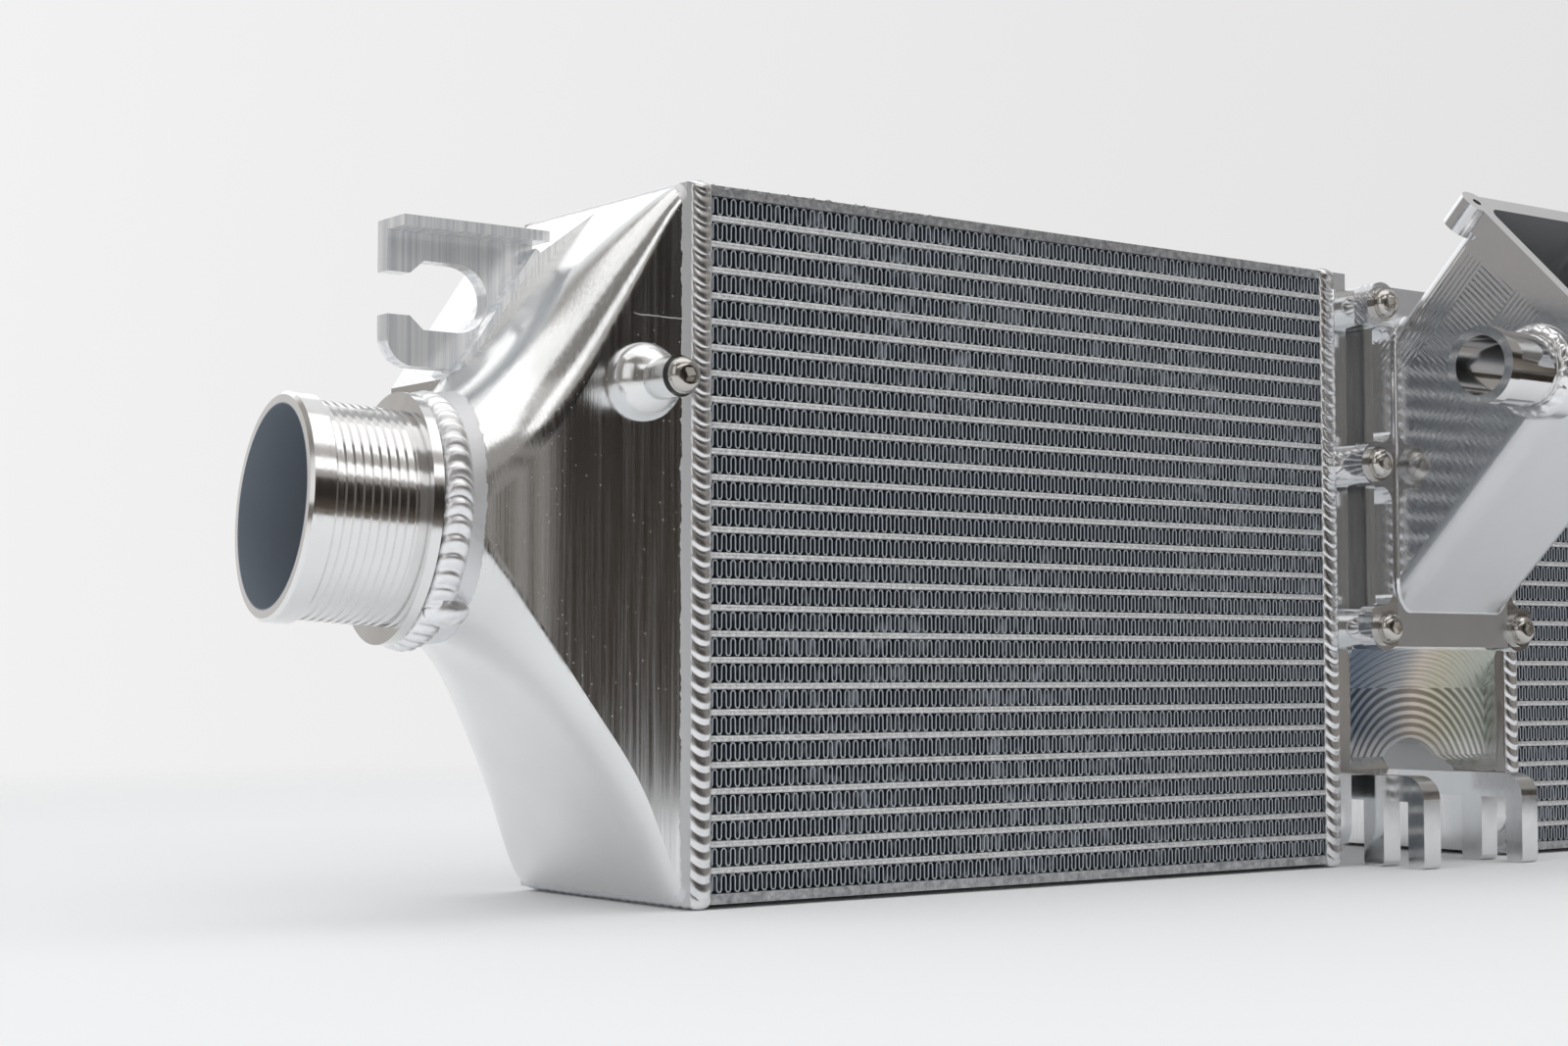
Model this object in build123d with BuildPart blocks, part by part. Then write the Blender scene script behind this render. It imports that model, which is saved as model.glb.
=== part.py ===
from build123d import *

import os
from math import cos, radians, sin, tan

# Twin-core air-to-air intercooler: two bar-and-plate cores welded to a machined centre
# manifold, with an end tank and a hose neck at each end and a bolted outlet duct.
# Frame: millimetres, +Z up, the cores side by side along X, the air face towards -Y.
# X = 0 is the middle of the centre manifold, Z = 0 is the ground under the lowest welds.
# The left half is modelled at -X and the right half is its mirror image.

# ---- Cores ----
fin_rows = 27
fin_height = 5.7  # one row of cooling fins
tube_height = 2.0  # one charge-air tube
tube_wall = 0.4
side_plate_thickness = 3.0
fin_run = 271.0  # length of the fins between the two headers
core_depth = 92.0
header_thickness = 2.5
header_edge = 4.0  # solid border of a header beside its tube ports
fin_waves = 25  # folds in one row, coarser than the real strip
fin_strip = 0.45  # height of the fin strip at its slope
fin_recess = 1.2  # the fins stop short of the tube edges
fin_gap = 0.05  # brazing gap above and below a row

# ---- Welds ----
bead_proud = 1.5  # height of a weld bead above the faces it joins
bead_width = 6.0
bead_round = 1.2  # rounding along a bead's outer edges

# ---- Centre manifold ----
block_width = 101.0  # between the faces of the two inner headers
end_flange_thickness = 9.5
end_flange_foot_radius = 14.0
flange_rim = 3.5  # square-cornered rim under the weld
block_wall = 5.0
block_floor_height = 31.0  # underside of the manifold above the core's underside
block_face_recess = 5.0  # the body lies this far behind the core's face
block_top_drop = 5.0  # the body's roof lies this far under the end flanges
notch_width = 38.0
notch_height = 12.6
apron_proud = 2.0  # the apron's top edge, ahead of the core's face
apron_slope = 16.0  # height of the slope under the window frame
apron_lip = 2.0
apron_lip_slope = 4.0
flange_pocket_depth = 5.5  # hollow of each end flange, facing the header
foot_centre_x = -2.5  # middle of the notch and of the two mounting forks
window_frame_width = 72.0
window_frame_low = 78.0
window_frame_high = 205.0
window_frame_proud = 8.0  # the sealing face stands this far ahead of the core's face
bolt_boss_radius = 7.5

# ---- Outlet plate and duct, one machined piece ----
plate_thickness = 6.0
plate_ear_radius = 8.0
plate_margin = 2.0  # the plate stands out this far beside the duct
plate_scallop = 6.0  # radius where an ear runs into the plate's side
plate_tip_round = 4.0
plate_low = 77.0
plate_high = 206.0
bolt_side_inset = 13.0  # corner bolts, in from the inner header's face
bolt_middle_inset = 9.0  # middle bolts
bolt_duct_gap = 6.0  # from the duct's side to the middle of a corner bolt
bolt_low = 83.5
bolt_middle = 142.0
bolt_high = 199.5
duct_tilt = 45.0  # the duct rises forwards at this angle
duct_height = 73.5  # across the duct, square to its axis
duct_wall = 3.0
duct_corner = 8.0
mouth_forward = 78.0  # middle of the mouth, ahead of the core's face
mouth_rise = 205.5  # middle of the mouth, above the core's underside
lip_thickness = 8.5
lip_proud_side = 2.0
lip_proud_top = 4.0
ear_radius = 6.0
ear_length = 11.5
ear_inset_side = 1.5  # ear centre, in from the lip's corner
ear_inset_top = 4.0
ear_hole_radius = 1.7
seal_width = 2.6
seal_thickness = 2.0
seal_clear = 1.4  # land between the window and the seal

# ---- Fasteners ----
screw_radius = 3.0
screw_clearance = 0.05  # between a screw's shank and its tapped hole
screw_hole_clearance = 0.3  # between a screw's shank and the plate
screw_length = 22.0
head_radius = 5.25
head_height = 3.3
head_crown_radius = 2.363  # flat top of the head
head_shoulder_radius = 4.462
head_shoulder_height = 2.244
head_rim_height = 0.594
hex_across = 4.0
hex_depth = 2.0
washer_radius = 6.25
washer_thickness = 1.6

# ---- Hose stub on the duct ----
stub_radius = 12.5
stub_bore_radius = 10.0
stub_length = 30.0
stub_collar_radius = 13.3
stub_collar_length = 5.0
stub_from_mouth = 27.3  # along the duct, from the mouth to the stub's axis
stub_floor_land = 0.7  # between the stub's bore and the duct's lower wall
stub_weld_width = 4.0
stub_weld_height = 3.5

# ---- Mounting forks under the manifold ----
fork_spacing = 55.0
fork_thickness = 9.0
fork_reach = 27.0  # ahead of the core's face
fork_front_tine = 7.0
fork_slot = 11.0
fork_rear_tine = 9.0
fork_slot_top = 22.0
fork_back_reach = 30.0  # length of the bar under the manifold, behind the core's face
fork_round = 8.0
fork_foot_round = 2.0

# ---- End tanks ----
tank_wall = 3.0
tank_collar = 4.5  # straight collar beside the header weld
tank_length = 81.5  # header to neck, along X
neck_centre_y = 22.5  # behind the core's face
neck_centre_z = 110.0
neck_yaw = 7.0  # the neck turns away from the air face
neck_pitch = 4.0  # the neck rises towards its mouth
spigot_radius = 33.0
spigot_step = 0.15  # the tank's round end is this much smaller than the neck's foot
bore_radius = 28.25
shoulder_front = 42.0  # raised shoulder on top of the tank, from here to near the back
shoulder_back_gap = 6.0
shoulder_drop_near = 18.0  # the shoulder falls this far to the bracket's near root
shoulder_drop_far = 57.0  # and this far to its far root
bracket_root_near = 29.0  # ends of the bracket's root, from the header
bracket_root_far = 55.5
boss_x = 20.0  # from the header to the sensor boss
boss_z = 151.5
boss_base_radius = 11.5
boss_tip_radius = 6.0
boss_foot = 0.5  # straight foot under the boss's dome
boss_dome = 9.0
boss_dome_pull = 0.6  # fullness of the dome, as a share of its height
boss_length = 19.0
plug_length = 12.0
plug_seal_thickness = 1.5

# ---- Hose neck ----
neck_length = 42.0
neck_foot = 6.0  # stretch under the weld
ring_radius = 35.5
ring_width = 3.0
collar_radius = 31.75
collar_width = 7.0
rib_pitch = 2.5
rib_width = 1.3
rib_crest_radius = 30.4
rib_root_radius = 29.6
mouth_chamfer = 1.0
neck_weld_proud = 4.0
neck_weld_tail = 4.0  # the weld reaches this far back onto the tank

# ---- Tank brackets ----
bracket_plane = 50.0  # middle of the web, behind the core's face
bracket_thickness = 6.0
bracket_flange_reach = 10.0  # the top rib stands this far ahead of the web
bracket_flange_thickness = 3.2
bracket_outer = 78.0  # from the header to the bracket's open end
bracket_low = 157.0
bracket_high = 196.5
bracket_corner = 9.0
bracket_foot_width = 16.0
bracket_foot_thickness = 2.0
slot_high = 20.5
slot_throat = 12.6
slot_middle = 178.2
slot_near = 44.5  # closed end of the slot, from the header
slot_far = 66.0  # where the slot narrows to its throat
slot_lead = 4.5  # length of the slope between slot and throat

# ---- Worked out from the sizes above ----
tube_pitch = fin_height + tube_height
core_height = fin_rows * fin_height + (fin_rows - 1) * tube_height + 2 * side_plate_thickness
x_block = block_width / 2
bolt_side_x = x_block - bolt_side_inset
bolt_middle_x = x_block - bolt_middle_inset
duct_width = 2 * (bolt_side_x - bolt_duct_gap)
lip_width = duct_width + 2 * lip_proud_side
lip_height = duct_height + 2 * lip_proud_top
front_reach = mouth_forward + lip_height / 2 * sin(radians(duct_tilt))
front = (front_reach - core_depth - bead_proud) / 2  # the cores' air face, so that Y is centred
back = front + core_depth
middle = front + core_depth / 2
base = bead_proud  # underside of the cores
top = base + core_height
x_fins_in = x_block + header_thickness
x_fins_out = x_fins_in + fin_run
x_tank = x_fins_out + header_thickness
x_neck = x_tank + tank_length
tube_heights = [
    base + side_plate_thickness + fin_height + tube_height / 2 + tube_pitch * row
    for row in range(fin_rows - 1)
]
sealing_face = front - window_frame_proud
plate_face = sealing_face - plate_thickness
duct_plane = Plane(
    origin=(0, front - mouth_forward, base + mouth_rise),
    x_dir=(1, 0, 0),
    z_dir=(0, -cos(radians(duct_tilt)), sin(radians(duct_tilt))),
)
duct_run = 2 * mouth_forward  # long enough to pass the sealing face from anywhere on the mouth
neck_axis = Vector(
    -cos(radians(neck_yaw)) * cos(radians(neck_pitch)),
    sin(radians(neck_yaw)) * cos(radians(neck_pitch)),
    sin(radians(neck_pitch)),
)
neck_base = Plane(
    origin=(-x_neck, front + neck_centre_y, base + neck_centre_z), x_dir=(0, -1, 0), z_dir=neck_axis
)
bolt_places = [
    (side * x, base + z)
    for side in (-1, 1)
    for x, z in ((bolt_side_x, bolt_low), (bolt_middle_x, bolt_middle), (bolt_side_x, bolt_high))
]

os.makedirs("parts", exist_ok=True)


def save(piece, name):
    """Label one finished piece and write it as its own STEP file."""
    piece.label = name
    export_step(piece, f"parts/{name}.step")


def save_pair(piece, name):
    """Write a left-hand piece and its mirror image on the right."""
    save(piece, f"left_{name}")
    save(mirror(piece, about=Plane.YZ), f"right_{name}")


# ======== Cores ========
with BuildPart() as one_tube:
    with BuildSketch(Plane.YZ.offset(-x_fins_out)):
        with Locations((middle, tube_heights[0])):
            SlotOverall(core_depth, tube_height)
            SlotOverall(core_depth - 2 * tube_wall, tube_height - 2 * tube_wall, mode=Mode.SUBTRACT)
    extrude(amount=fin_run)
with BuildPart() as core_tubes:
    with Locations([(0, 0, tube_pitch * row) for row in range(fin_rows - 1)]):
        add(one_tube.part)
save_pair(core_tubes.part, "core_tubes")

with BuildPart() as one_fin_row:
    with BuildSketch(Plane.XZ.offset(-front - fin_recess)):
        fold = (fin_run - 2 * fin_gap) / (2 * fin_waves)
        fin_low = base + side_plate_thickness + fin_gap
        fin_high = fin_low + fin_height - 2 * fin_gap - fin_strip
        fold_line = [
            (-x_fins_out + fin_gap + fold * k, fin_low if k % 2 else fin_high)
            for k in range(2 * fin_waves + 1)
        ]
        with BuildLine():
            Polyline(*fold_line, *[(x, z + fin_strip) for x, z in reversed(fold_line)], close=True)
        make_face()
    extrude(amount=-(core_depth - 2 * fin_recess))
with BuildPart() as core_fins:
    with Locations([(0, 0, tube_pitch * row) for row in range(fin_rows)]):
        add(one_fin_row.part)
save_pair(core_fins.part, "core_fins")

for name, x_low in (("outer_header", -x_tank), ("inner_header", -x_fins_in)):
    with BuildPart() as header:
        with BuildSketch(Plane.YZ.offset(x_low)):
            with Locations((middle, base + core_height / 2)):
                Rectangle(core_depth, core_height)
        extrude(amount=header_thickness)
        with BuildSketch(Plane.YZ.offset(x_low)):
            with Locations([(middle, z) for z in tube_heights]):
                SlotOverall(core_depth - 2 * header_edge, tube_height - 2 * tube_wall)
        extrude(amount=header_thickness, mode=Mode.SUBTRACT)
    save_pair(header.part, name)

for name, z_low in (("bottom_plate", base), ("top_plate", top - side_plate_thickness)):
    with BuildPart() as side_plate:
        with BuildSketch(Plane.XY.offset(z_low)):
            with Locations((-(x_fins_in + x_fins_out) / 2, middle)):
                Rectangle(fin_run, core_depth)
        extrude(amount=side_plate_thickness)
    save_pair(side_plate.part, name)

# ======== End tank, with its raised shoulder and sensor boss ========
# Outline of the tank at stations from the header to the neck: distance from the header, then how
# far the front, back, underside and roof have come in from the core's outline, and the radii of
# the lower front, upper front and rear corners.
tank_stations = [
    (tank_collar, 0.0, 0.0, 0.0, 0.0, 5.0, 5.0, 5.0),
    (11.5, 0.0, 1.0, 8.5, 5.5, 8.5, 9.0, 8.0),
    (18.5, 0.0, 3.0, 22.0, 12.5, 10.5, 14.5, 12.0),
    (27.5, 0.0, 7.0, 35.5, 22.0, 11.0, 21.0, 16.0),
    (39.5, 0.0, 13.5, 50.0, 36.5, 12.0, 26.5, 21.0),
    (53.5, -1.0, 21.0, 64.0, 52.5, 16.0, 28.0, 26.0),
    (67.5, -5.0, 29.0, 73.0, 63.0, 23.0, 29.5, 30.0),
]
spigot_flat = 0.05  # half of the flats left between the spigot's four arcs


def tank_outline(plane, ahead, behind, under, over, radii):
    """Face with four rounded corners, from ahead to behind and from under to over."""
    lower, upper, rear = radii
    with BuildSketch(plane) as outline:
        with BuildLine():
            Line((ahead, under + lower), (ahead, over - upper))
            CenterArc((ahead + upper, over - upper), upper, 180, -90)
            Line((ahead + upper, over), (behind - rear, over))
            CenterArc((behind - rear, over - rear), rear, 90, -90)
            Line((behind, over - rear), (behind, under + rear))
            CenterArc((behind - rear, under + rear), rear, 0, -90)
            Line((behind - rear, under), (ahead + lower, under))
            CenterArc((ahead + lower, under + lower), lower, -90, -90)
        make_face()
    return outline.sketch.face()


def tank_body(inset):
    """Blend from the core's rectangle to the round spigot, drawn in by inset all round."""
    outlines = [
        tank_outline(
            Plane.YZ.offset(-x_tank - x),
            front + ahead + inset, back - behind - inset, base + under + inset, top - over - inset,
            [radius - inset / 2 for radius in radii],
        )
        for x, ahead, behind, under, over, *radii in tank_stations
    ]
    spigot = spigot_radius - spigot_step - inset
    spigot_plane = Plane(neck_base.origin, x_dir=(0, 1, 0), z_dir=-neck_axis)
    outlines.append(
        tank_outline(spigot_plane, -spigot, spigot, -spigot, spigot, 3 * [spigot - spigot_flat])
    )
    with BuildPart() as body:
        with BuildSketch(Plane.YZ.offset(-x_tank)):
            with Locations((middle, base + core_height / 2)):
                Rectangle(core_depth - 2 * inset, core_height - 2 * inset)
        extrude(amount=-tank_collar)
        loft(outlines)
    return body.part


with BuildPart() as tank_solid:
    add(tank_body(0))
    with BuildSketch(Plane.XZ.offset(-front - shoulder_front)):
        with BuildLine():
            Polyline(
                (-x_tank - tank_collar, top),
                (-x_tank - bracket_root_near, top - shoulder_drop_near),
                (-x_tank - bracket_root_far, top - shoulder_drop_far),
                (-x_tank - bracket_root_far, top - shoulder_drop_far - tank_wall),
                (-x_tank - tank_collar, top - shoulder_drop_far - tank_wall),
                close=True,
            )
        make_face()
    extrude(amount=-(core_depth - shoulder_front - shoulder_back_gap))

with BuildPart() as right_tank_solid:
    add(tank_solid.part)
    add(tank_body(tank_wall), mode=Mode.SUBTRACT)
    with BuildSketch(neck_base):
        Circle(bore_radius)
    extrude(amount=-tank_wall, mode=Mode.SUBTRACT)
save(mirror(right_tank_solid.part, about=Plane.YZ), "right_tank")

boss_face = Plane(
    origin=(-x_tank - boss_x, front, base + boss_z), x_dir=(1, 0, 0), z_dir=(0, -1, 0)
)
with BuildPart() as left_tank:
    add(right_tank_solid.part)
    with BuildSketch(Plane(boss_face.origin, x_dir=(1, 0, 0), z_dir=(0, 0, 1))):
        with BuildLine():
            Line((0, tank_wall / 2), (boss_base_radius, tank_wall / 2))
            Line((boss_base_radius, tank_wall / 2), (boss_base_radius, -boss_foot))
            Bezier(
                (boss_base_radius, -boss_foot),
                (boss_base_radius, -boss_dome * boss_dome_pull),
                (boss_tip_radius, -boss_dome),
            )
            Line((boss_tip_radius, -boss_dome), (boss_tip_radius, -boss_length))
            Line((boss_tip_radius, -boss_length), (0, -boss_length))
            Line((0, -boss_length), (0, tank_wall / 2))
        make_face()
    revolve(axis=Axis(boss_face.origin, (0, 1, 0)))
    with BuildSketch(boss_face.offset(boss_length)):
        Circle(screw_radius + screw_clearance)
    extrude(amount=-boss_length - 2 * tank_wall, mode=Mode.SUBTRACT)
save(left_tank.part, "left_tank")

with BuildPart() as plug_seal:
    with BuildSketch(boss_face.offset(boss_length)):
        Circle(boss_tip_radius - plug_seal_thickness / 2)
        Circle(screw_radius + screw_clearance, mode=Mode.SUBTRACT)
    extrude(amount=plug_seal_thickness)
save(plug_seal.part, "plug_seal")


def button_screw(length):
    """Button-head screw on +Z: its shank goes down from the origin and its head stands above."""
    with BuildPart() as screw:
        with BuildSketch(Plane.XZ):
            with BuildLine():
                Line((0, head_height), (head_crown_radius, head_height))
                ThreePointArc(
                    (head_crown_radius, head_height),
                    (head_shoulder_radius, head_shoulder_height),
                    (head_radius, head_rim_height),
                )
                Polyline(
                    (head_radius, head_rim_height), (head_radius, 0), (screw_radius, 0),
                    (screw_radius, -length), (0, -length), (0, head_height),
                )
            make_face()
        revolve(axis=Axis.Z)
        with BuildSketch(Plane.XY.offset(head_height)):
            RegularPolygon(hex_across / 2, 6, major_radius=False)
        extrude(amount=-hex_depth, mode=Mode.SUBTRACT)
    return screw.part


with BuildPart() as sensor_plug:
    with Locations(boss_face.offset(boss_length + plug_seal_thickness)):
        add(button_screw(plug_length))
save(sensor_plug.part, "sensor_plug")

# ======== Hose neck and its weld ========
with BuildPart() as neck:
    with BuildSketch(Plane(neck_base.origin, x_dir=neck_base.y_dir, z_dir=neck_base.x_dir)):
        ribs_end = neck_length - collar_width
        rib_line = [(spigot_radius, 0), (spigot_radius, neck_foot), (ring_radius, neck_foot)]
        rib_line += [(ring_radius, neck_foot + ring_width), (rib_root_radius, neck_foot + ring_width)]
        for rib in range(int((ribs_end - neck_foot - ring_width) / rib_pitch)):
            start = neck_foot + ring_width + rib_pitch * rib + (rib_pitch - rib_width)
            rib_line += [(rib_root_radius, start), (rib_crest_radius, start)]
            rib_line += [(rib_crest_radius, start + rib_width), (rib_root_radius, start + rib_width)]
        rib_line += [(rib_root_radius, ribs_end), (collar_radius, ribs_end)]
        rib_line += [(collar_radius, neck_length - mouth_chamfer)]
        rib_line += [(collar_radius - mouth_chamfer, neck_length), (bore_radius, neck_length)]
        with BuildLine():
            Polyline((bore_radius, 0), *rib_line, close=True)
        make_face()
    revolve(axis=Axis(neck_base.origin, neck_axis))
save_pair(neck.part, "inlet_neck")

with BuildPart() as neck_weld:
    with BuildSketch(Plane(neck_base.origin, x_dir=neck_base.y_dir, z_dir=neck_base.x_dir)):
        with BuildLine():
            Polyline(
                (spigot_radius, neck_foot), (spigot_radius, 0), (spigot_radius - tank_wall / 2, 0),
                (spigot_radius - tank_wall / 2, -neck_weld_tail),
                (spigot_radius + neck_weld_proud * 0.7, -neck_weld_tail),
            )
            ThreePointArc(
                (spigot_radius + neck_weld_proud * 0.7, -neck_weld_tail),
                (spigot_radius + neck_weld_proud, (neck_foot - neck_weld_tail) / 2),
                (spigot_radius + neck_weld_proud * 0.6, neck_foot),
            )
            Line((spigot_radius + neck_weld_proud * 0.6, neck_foot), (spigot_radius, neck_foot))
        make_face()
    revolve(axis=Axis(neck_base.origin, neck_axis))
    add(tank_solid.part, mode=Mode.SUBTRACT)
save_pair(neck_weld.part, "neck_weld")

# ======== Tank brackets ========
root_line = ((-x_tank - bracket_root_far, top - shoulder_drop_far),
             (-x_tank - bracket_root_near, top - shoulder_drop_near))
with BuildPart() as bracket:
    web_front = front + bracket_plane - bracket_thickness / 2
    with BuildSketch(Plane.XZ.offset(-web_front)):
        with BuildLine():
            Polyline(
                (-x_tank - bracket_outer, base + bracket_high),
                (-x_tank - bracket_outer, base + bracket_low),
                (-x_tank - bracket_root_far, base + bracket_low),
                root_line[0], root_line[1],
                (-x_tank - bracket_root_near, base + bracket_high),
                close=True,
            )
        make_face()
        with BuildLine():
            slot_centre = -x_tank - slot_near - slot_high / 2
            Polyline(
                (slot_centre, base + slot_middle - slot_high / 2),
                (slot_centre, base + slot_middle + slot_high / 2),
                (-x_tank - slot_far, base + slot_middle + slot_high / 2),
                (-x_tank - slot_far - slot_lead, base + slot_middle + slot_throat / 2),
                (-x_tank - bracket_outer, base + slot_middle + slot_throat / 2),
                (-x_tank - bracket_outer, base + slot_middle - slot_throat / 2),
                (-x_tank - slot_far - slot_lead, base + slot_middle - slot_throat / 2),
                (-x_tank - slot_far, base + slot_middle - slot_high / 2),
                close=True,
            )
        make_face(mode=Mode.SUBTRACT)
        with Locations((slot_centre, base + slot_middle)):
            Circle(slot_high / 2, mode=Mode.SUBTRACT)
    extrude(amount=-bracket_thickness)
    outer_low = bracket.edges().filter_by(Axis.Y).filter_by_position(
        Axis.Z, base + bracket_low - 0.1, base + bracket_low + 0.1
    )
    fillet(outer_low.sort_by(Axis.X)[0], bracket_corner)
    with BuildSketch(Plane.XY.offset(base + bracket_high)):
        with Locations((-x_tank - (bracket_outer + bracket_root_near) / 2,
                        web_front + (bracket_thickness - bracket_flange_reach) / 2)):
            Rectangle(bracket_outer - bracket_root_near, bracket_thickness + bracket_flange_reach)
    extrude(amount=bracket_flange_thickness)
    with BuildSketch(Plane.XZ.offset(-front - bracket_plane)):
        with BuildLine():
            rise = Vector(root_line[1][0] - root_line[0][0], root_line[1][1] - root_line[0][1], 0)
            out = Vector(-rise.Y, rise.X, 0).normalized() * bracket_foot_thickness
            Polyline(
                root_line[0], root_line[1],
                (root_line[1][0] + out.X, root_line[1][1] + out.Y),
                (root_line[0][0] + out.X, root_line[0][1] + out.Y),
                close=True,
            )
        make_face()
    extrude(amount=bracket_foot_width / 2, both=True)
    add(tank_solid.part, mode=Mode.SUBTRACT)
save_pair(bracket.part, "bracket")

# ======== Centre manifold ========
x_body = x_block - end_flange_thickness
body_front = front + block_face_recess
body_roof = top - block_top_drop
floor = base + block_floor_height
plenum_floor = floor + notch_height + block_wall
window_middle = base + mouth_rise - (mouth_forward - window_frame_proud) * tan(radians(duct_tilt))
window_width = duct_width - 2 * duct_wall
window_height = (duct_height - 2 * duct_wall) / cos(radians(duct_tilt))
screw_engagement = screw_length - washer_thickness - plate_thickness

with BuildPart() as air_channel:
    with BuildSketch(duct_plane.offset(lip_thickness)):
        RectangleRounded(window_width, duct_height - 2 * duct_wall, duct_corner - duct_wall)
    extrude(amount=-duct_run)

with BuildPart() as centre_manifold:
    # body between the end flanges
    with BuildSketch(Plane.XZ.offset(-body_front)):
        with Locations((0, (floor + body_roof) / 2)):
            Rectangle(2 * x_body, body_roof - floor)
    extrude(amount=-(core_depth - block_face_recess))
    # window frame and bolt bosses
    with BuildSketch(Plane.XZ.offset(-sealing_face)):
        with Locations((0, base + (window_frame_low + window_frame_high) / 2)):
            RectangleRounded(window_frame_width, window_frame_high - window_frame_low, duct_corner)
        with Locations(bolt_places):
            Circle(bolt_boss_radius)
    extrude(amount=-(window_frame_proud + block_face_recess + block_wall))
    # sloping apron under the window frame, and its lip
    with BuildSketch(Plane.YZ.offset(-x_body)):
        with BuildLine():
            Polyline(
                (front - apron_proud, base + window_frame_low),
                (body_front, base + window_frame_low - apron_slope),
                (body_front, floor + apron_lip + apron_lip_slope),
                (front, floor + apron_lip),
                (front, floor),
                (body_front + block_wall, floor),
                (body_front + block_wall, base + window_frame_low),
                close=True,
            )
        make_face()
    extrude(amount=2 * x_body)
    # arched notch along the underside
    with BuildSketch(Plane.XZ.offset(-front)):
        with BuildLine():
            ThreePointArc(
                (foot_centre_x - notch_width / 2, floor),
                (foot_centre_x, floor + notch_height),
                (foot_centre_x + notch_width / 2, floor),
            )
            Line((foot_centre_x + notch_width / 2, floor), (foot_centre_x - notch_width / 2, floor))
        make_face()
    extrude(amount=-core_depth, mode=Mode.SUBTRACT)
    # end flanges: square where they are welded to the headers, rounded at the foot inside that
    for x_low in (-x_block, x_block - flange_rim):
        with BuildSketch(Plane.YZ.offset(x_low)):
            with Locations((middle, base + core_height / 2)):
                Rectangle(core_depth, core_height)
        extrude(amount=flange_rim)
    for x_low in (-x_block + flange_rim, x_body):
        with BuildSketch(Plane.YZ.offset(x_low)):
            with Locations((middle, base + core_height / 2)):
                RectangleRounded(core_depth, core_height, end_flange_foot_radius)
            with Locations((middle, base + 3 * core_height / 4)):
                Rectangle(core_depth, core_height / 2)
        extrude(amount=end_flange_thickness - flange_rim)
    # plenum, open to the headers at both ends
    with BuildSketch(Plane.XZ.offset(-body_front - block_wall)):
        with Locations((0, (plenum_floor + body_roof - block_wall) / 2)):
            Rectangle(2 * x_block, body_roof - block_wall - plenum_floor)
    extrude(amount=-(core_depth - block_face_recess - 2 * block_wall), mode=Mode.SUBTRACT)
    for x_low in (-x_block, x_block - flange_pocket_depth):
        with BuildSketch(Plane.YZ.offset(x_low)):
            with Locations((middle, base + core_height / 2)):
                RectangleRounded(
                    core_depth - 2 * block_wall, core_height - 2 * block_wall,
                    end_flange_foot_radius - block_wall,
                )
        extrude(amount=flange_pocket_depth, mode=Mode.SUBTRACT)
    # window and tapped holes
    add(air_channel.part, mode=Mode.SUBTRACT)
    with BuildSketch(Plane.XZ.offset(-sealing_face)):
        with Locations(bolt_places):
            Circle(screw_radius + screw_clearance)
    extrude(amount=-screw_engagement - screw_radius, mode=Mode.SUBTRACT)
save(centre_manifold.part, "centre_manifold")

# ======== Weld beads round both ends of each core ========
for name, x_low in (("tank_weld", -x_fins_out - bead_width), ("manifold_weld", -x_fins_in)):
    with BuildPart() as bead:
        with BuildSketch(Plane.YZ.offset(x_low)):
            with Locations((middle, base + core_height / 2)):
                RectangleRounded(core_depth + 2 * bead_proud, core_height + 2 * bead_proud, bead_width / 2)
        extrude(amount=bead_width)
        fillet(bead.faces().sort_by(Axis.X)[0].edges(), bead_round)
        fillet(bead.faces().sort_by(Axis.X)[-1].edges(), bead_round)
        with BuildSketch(Plane.YZ.offset(x_low)):
            with Locations((middle, base + core_height / 2)):
                Rectangle(core_depth, core_height)
        extrude(amount=bead_width, mode=Mode.SUBTRACT)
        add(centre_manifold.part, mode=Mode.SUBTRACT)
    save_pair(bead.part, name)

# ======== Mounting forks ========
with BuildPart() as fork:
    with BuildSketch(Plane.YZ.offset(foot_centre_x - (fork_spacing + fork_thickness) / 2)):
        slot_front = front - fork_reach + fork_front_tine
        slot_back = slot_front + fork_slot
        with BuildLine():
            Polyline(
                (front + fork_back_reach, floor),
                (front - fork_reach, floor),
                (front - fork_reach, 0),
                (slot_front, 0),
                (slot_front, base + fork_slot_top),
                (slot_back, base + fork_slot_top),
                (slot_back, 0),
                (slot_back + fork_rear_tine, 0),
                (slot_back + fork_rear_tine, base + fork_slot_top),
                (front + fork_back_reach, base + fork_slot_top),
                close=True,
            )
        make_face()
    extrude(amount=fork_thickness)
    across = fork.edges().filter_by(Axis.X)
    fillet(across.group_by(Axis.Y)[0].sort_by(Axis.Z)[-1], fork_round)
    fillet(fork.edges().filter_by(Axis.X).group_by(Axis.Z)[0], fork_foot_round)
save(fork.part, "left_mounting_fork")
with BuildPart() as right_fork:
    with Locations((fork_spacing, 0, 0)):
        add(fork.part)
save(right_fork.part, "right_mounting_fork")

# ======== Outlet plate and duct ========
with BuildPart() as duct_outside:
    with BuildSketch(duct_plane):
        RectangleRounded(duct_width, duct_height, duct_corner)
    extrude(amount=-duct_run)
    split(bisect_by=Plane.XZ.offset(-sealing_face), keep=Keep.TOP)

stub_drop = duct_height / 2 - duct_wall - stub_floor_land - stub_bore_radius
stub_place = duct_plane.offset(-stub_from_mouth).from_local_coords((-duct_width / 2, -stub_drop, 0))
stub_root = Plane(origin=stub_place, x_dir=(0, 1, 0), z_dir=(-1, 0, 0))

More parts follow.
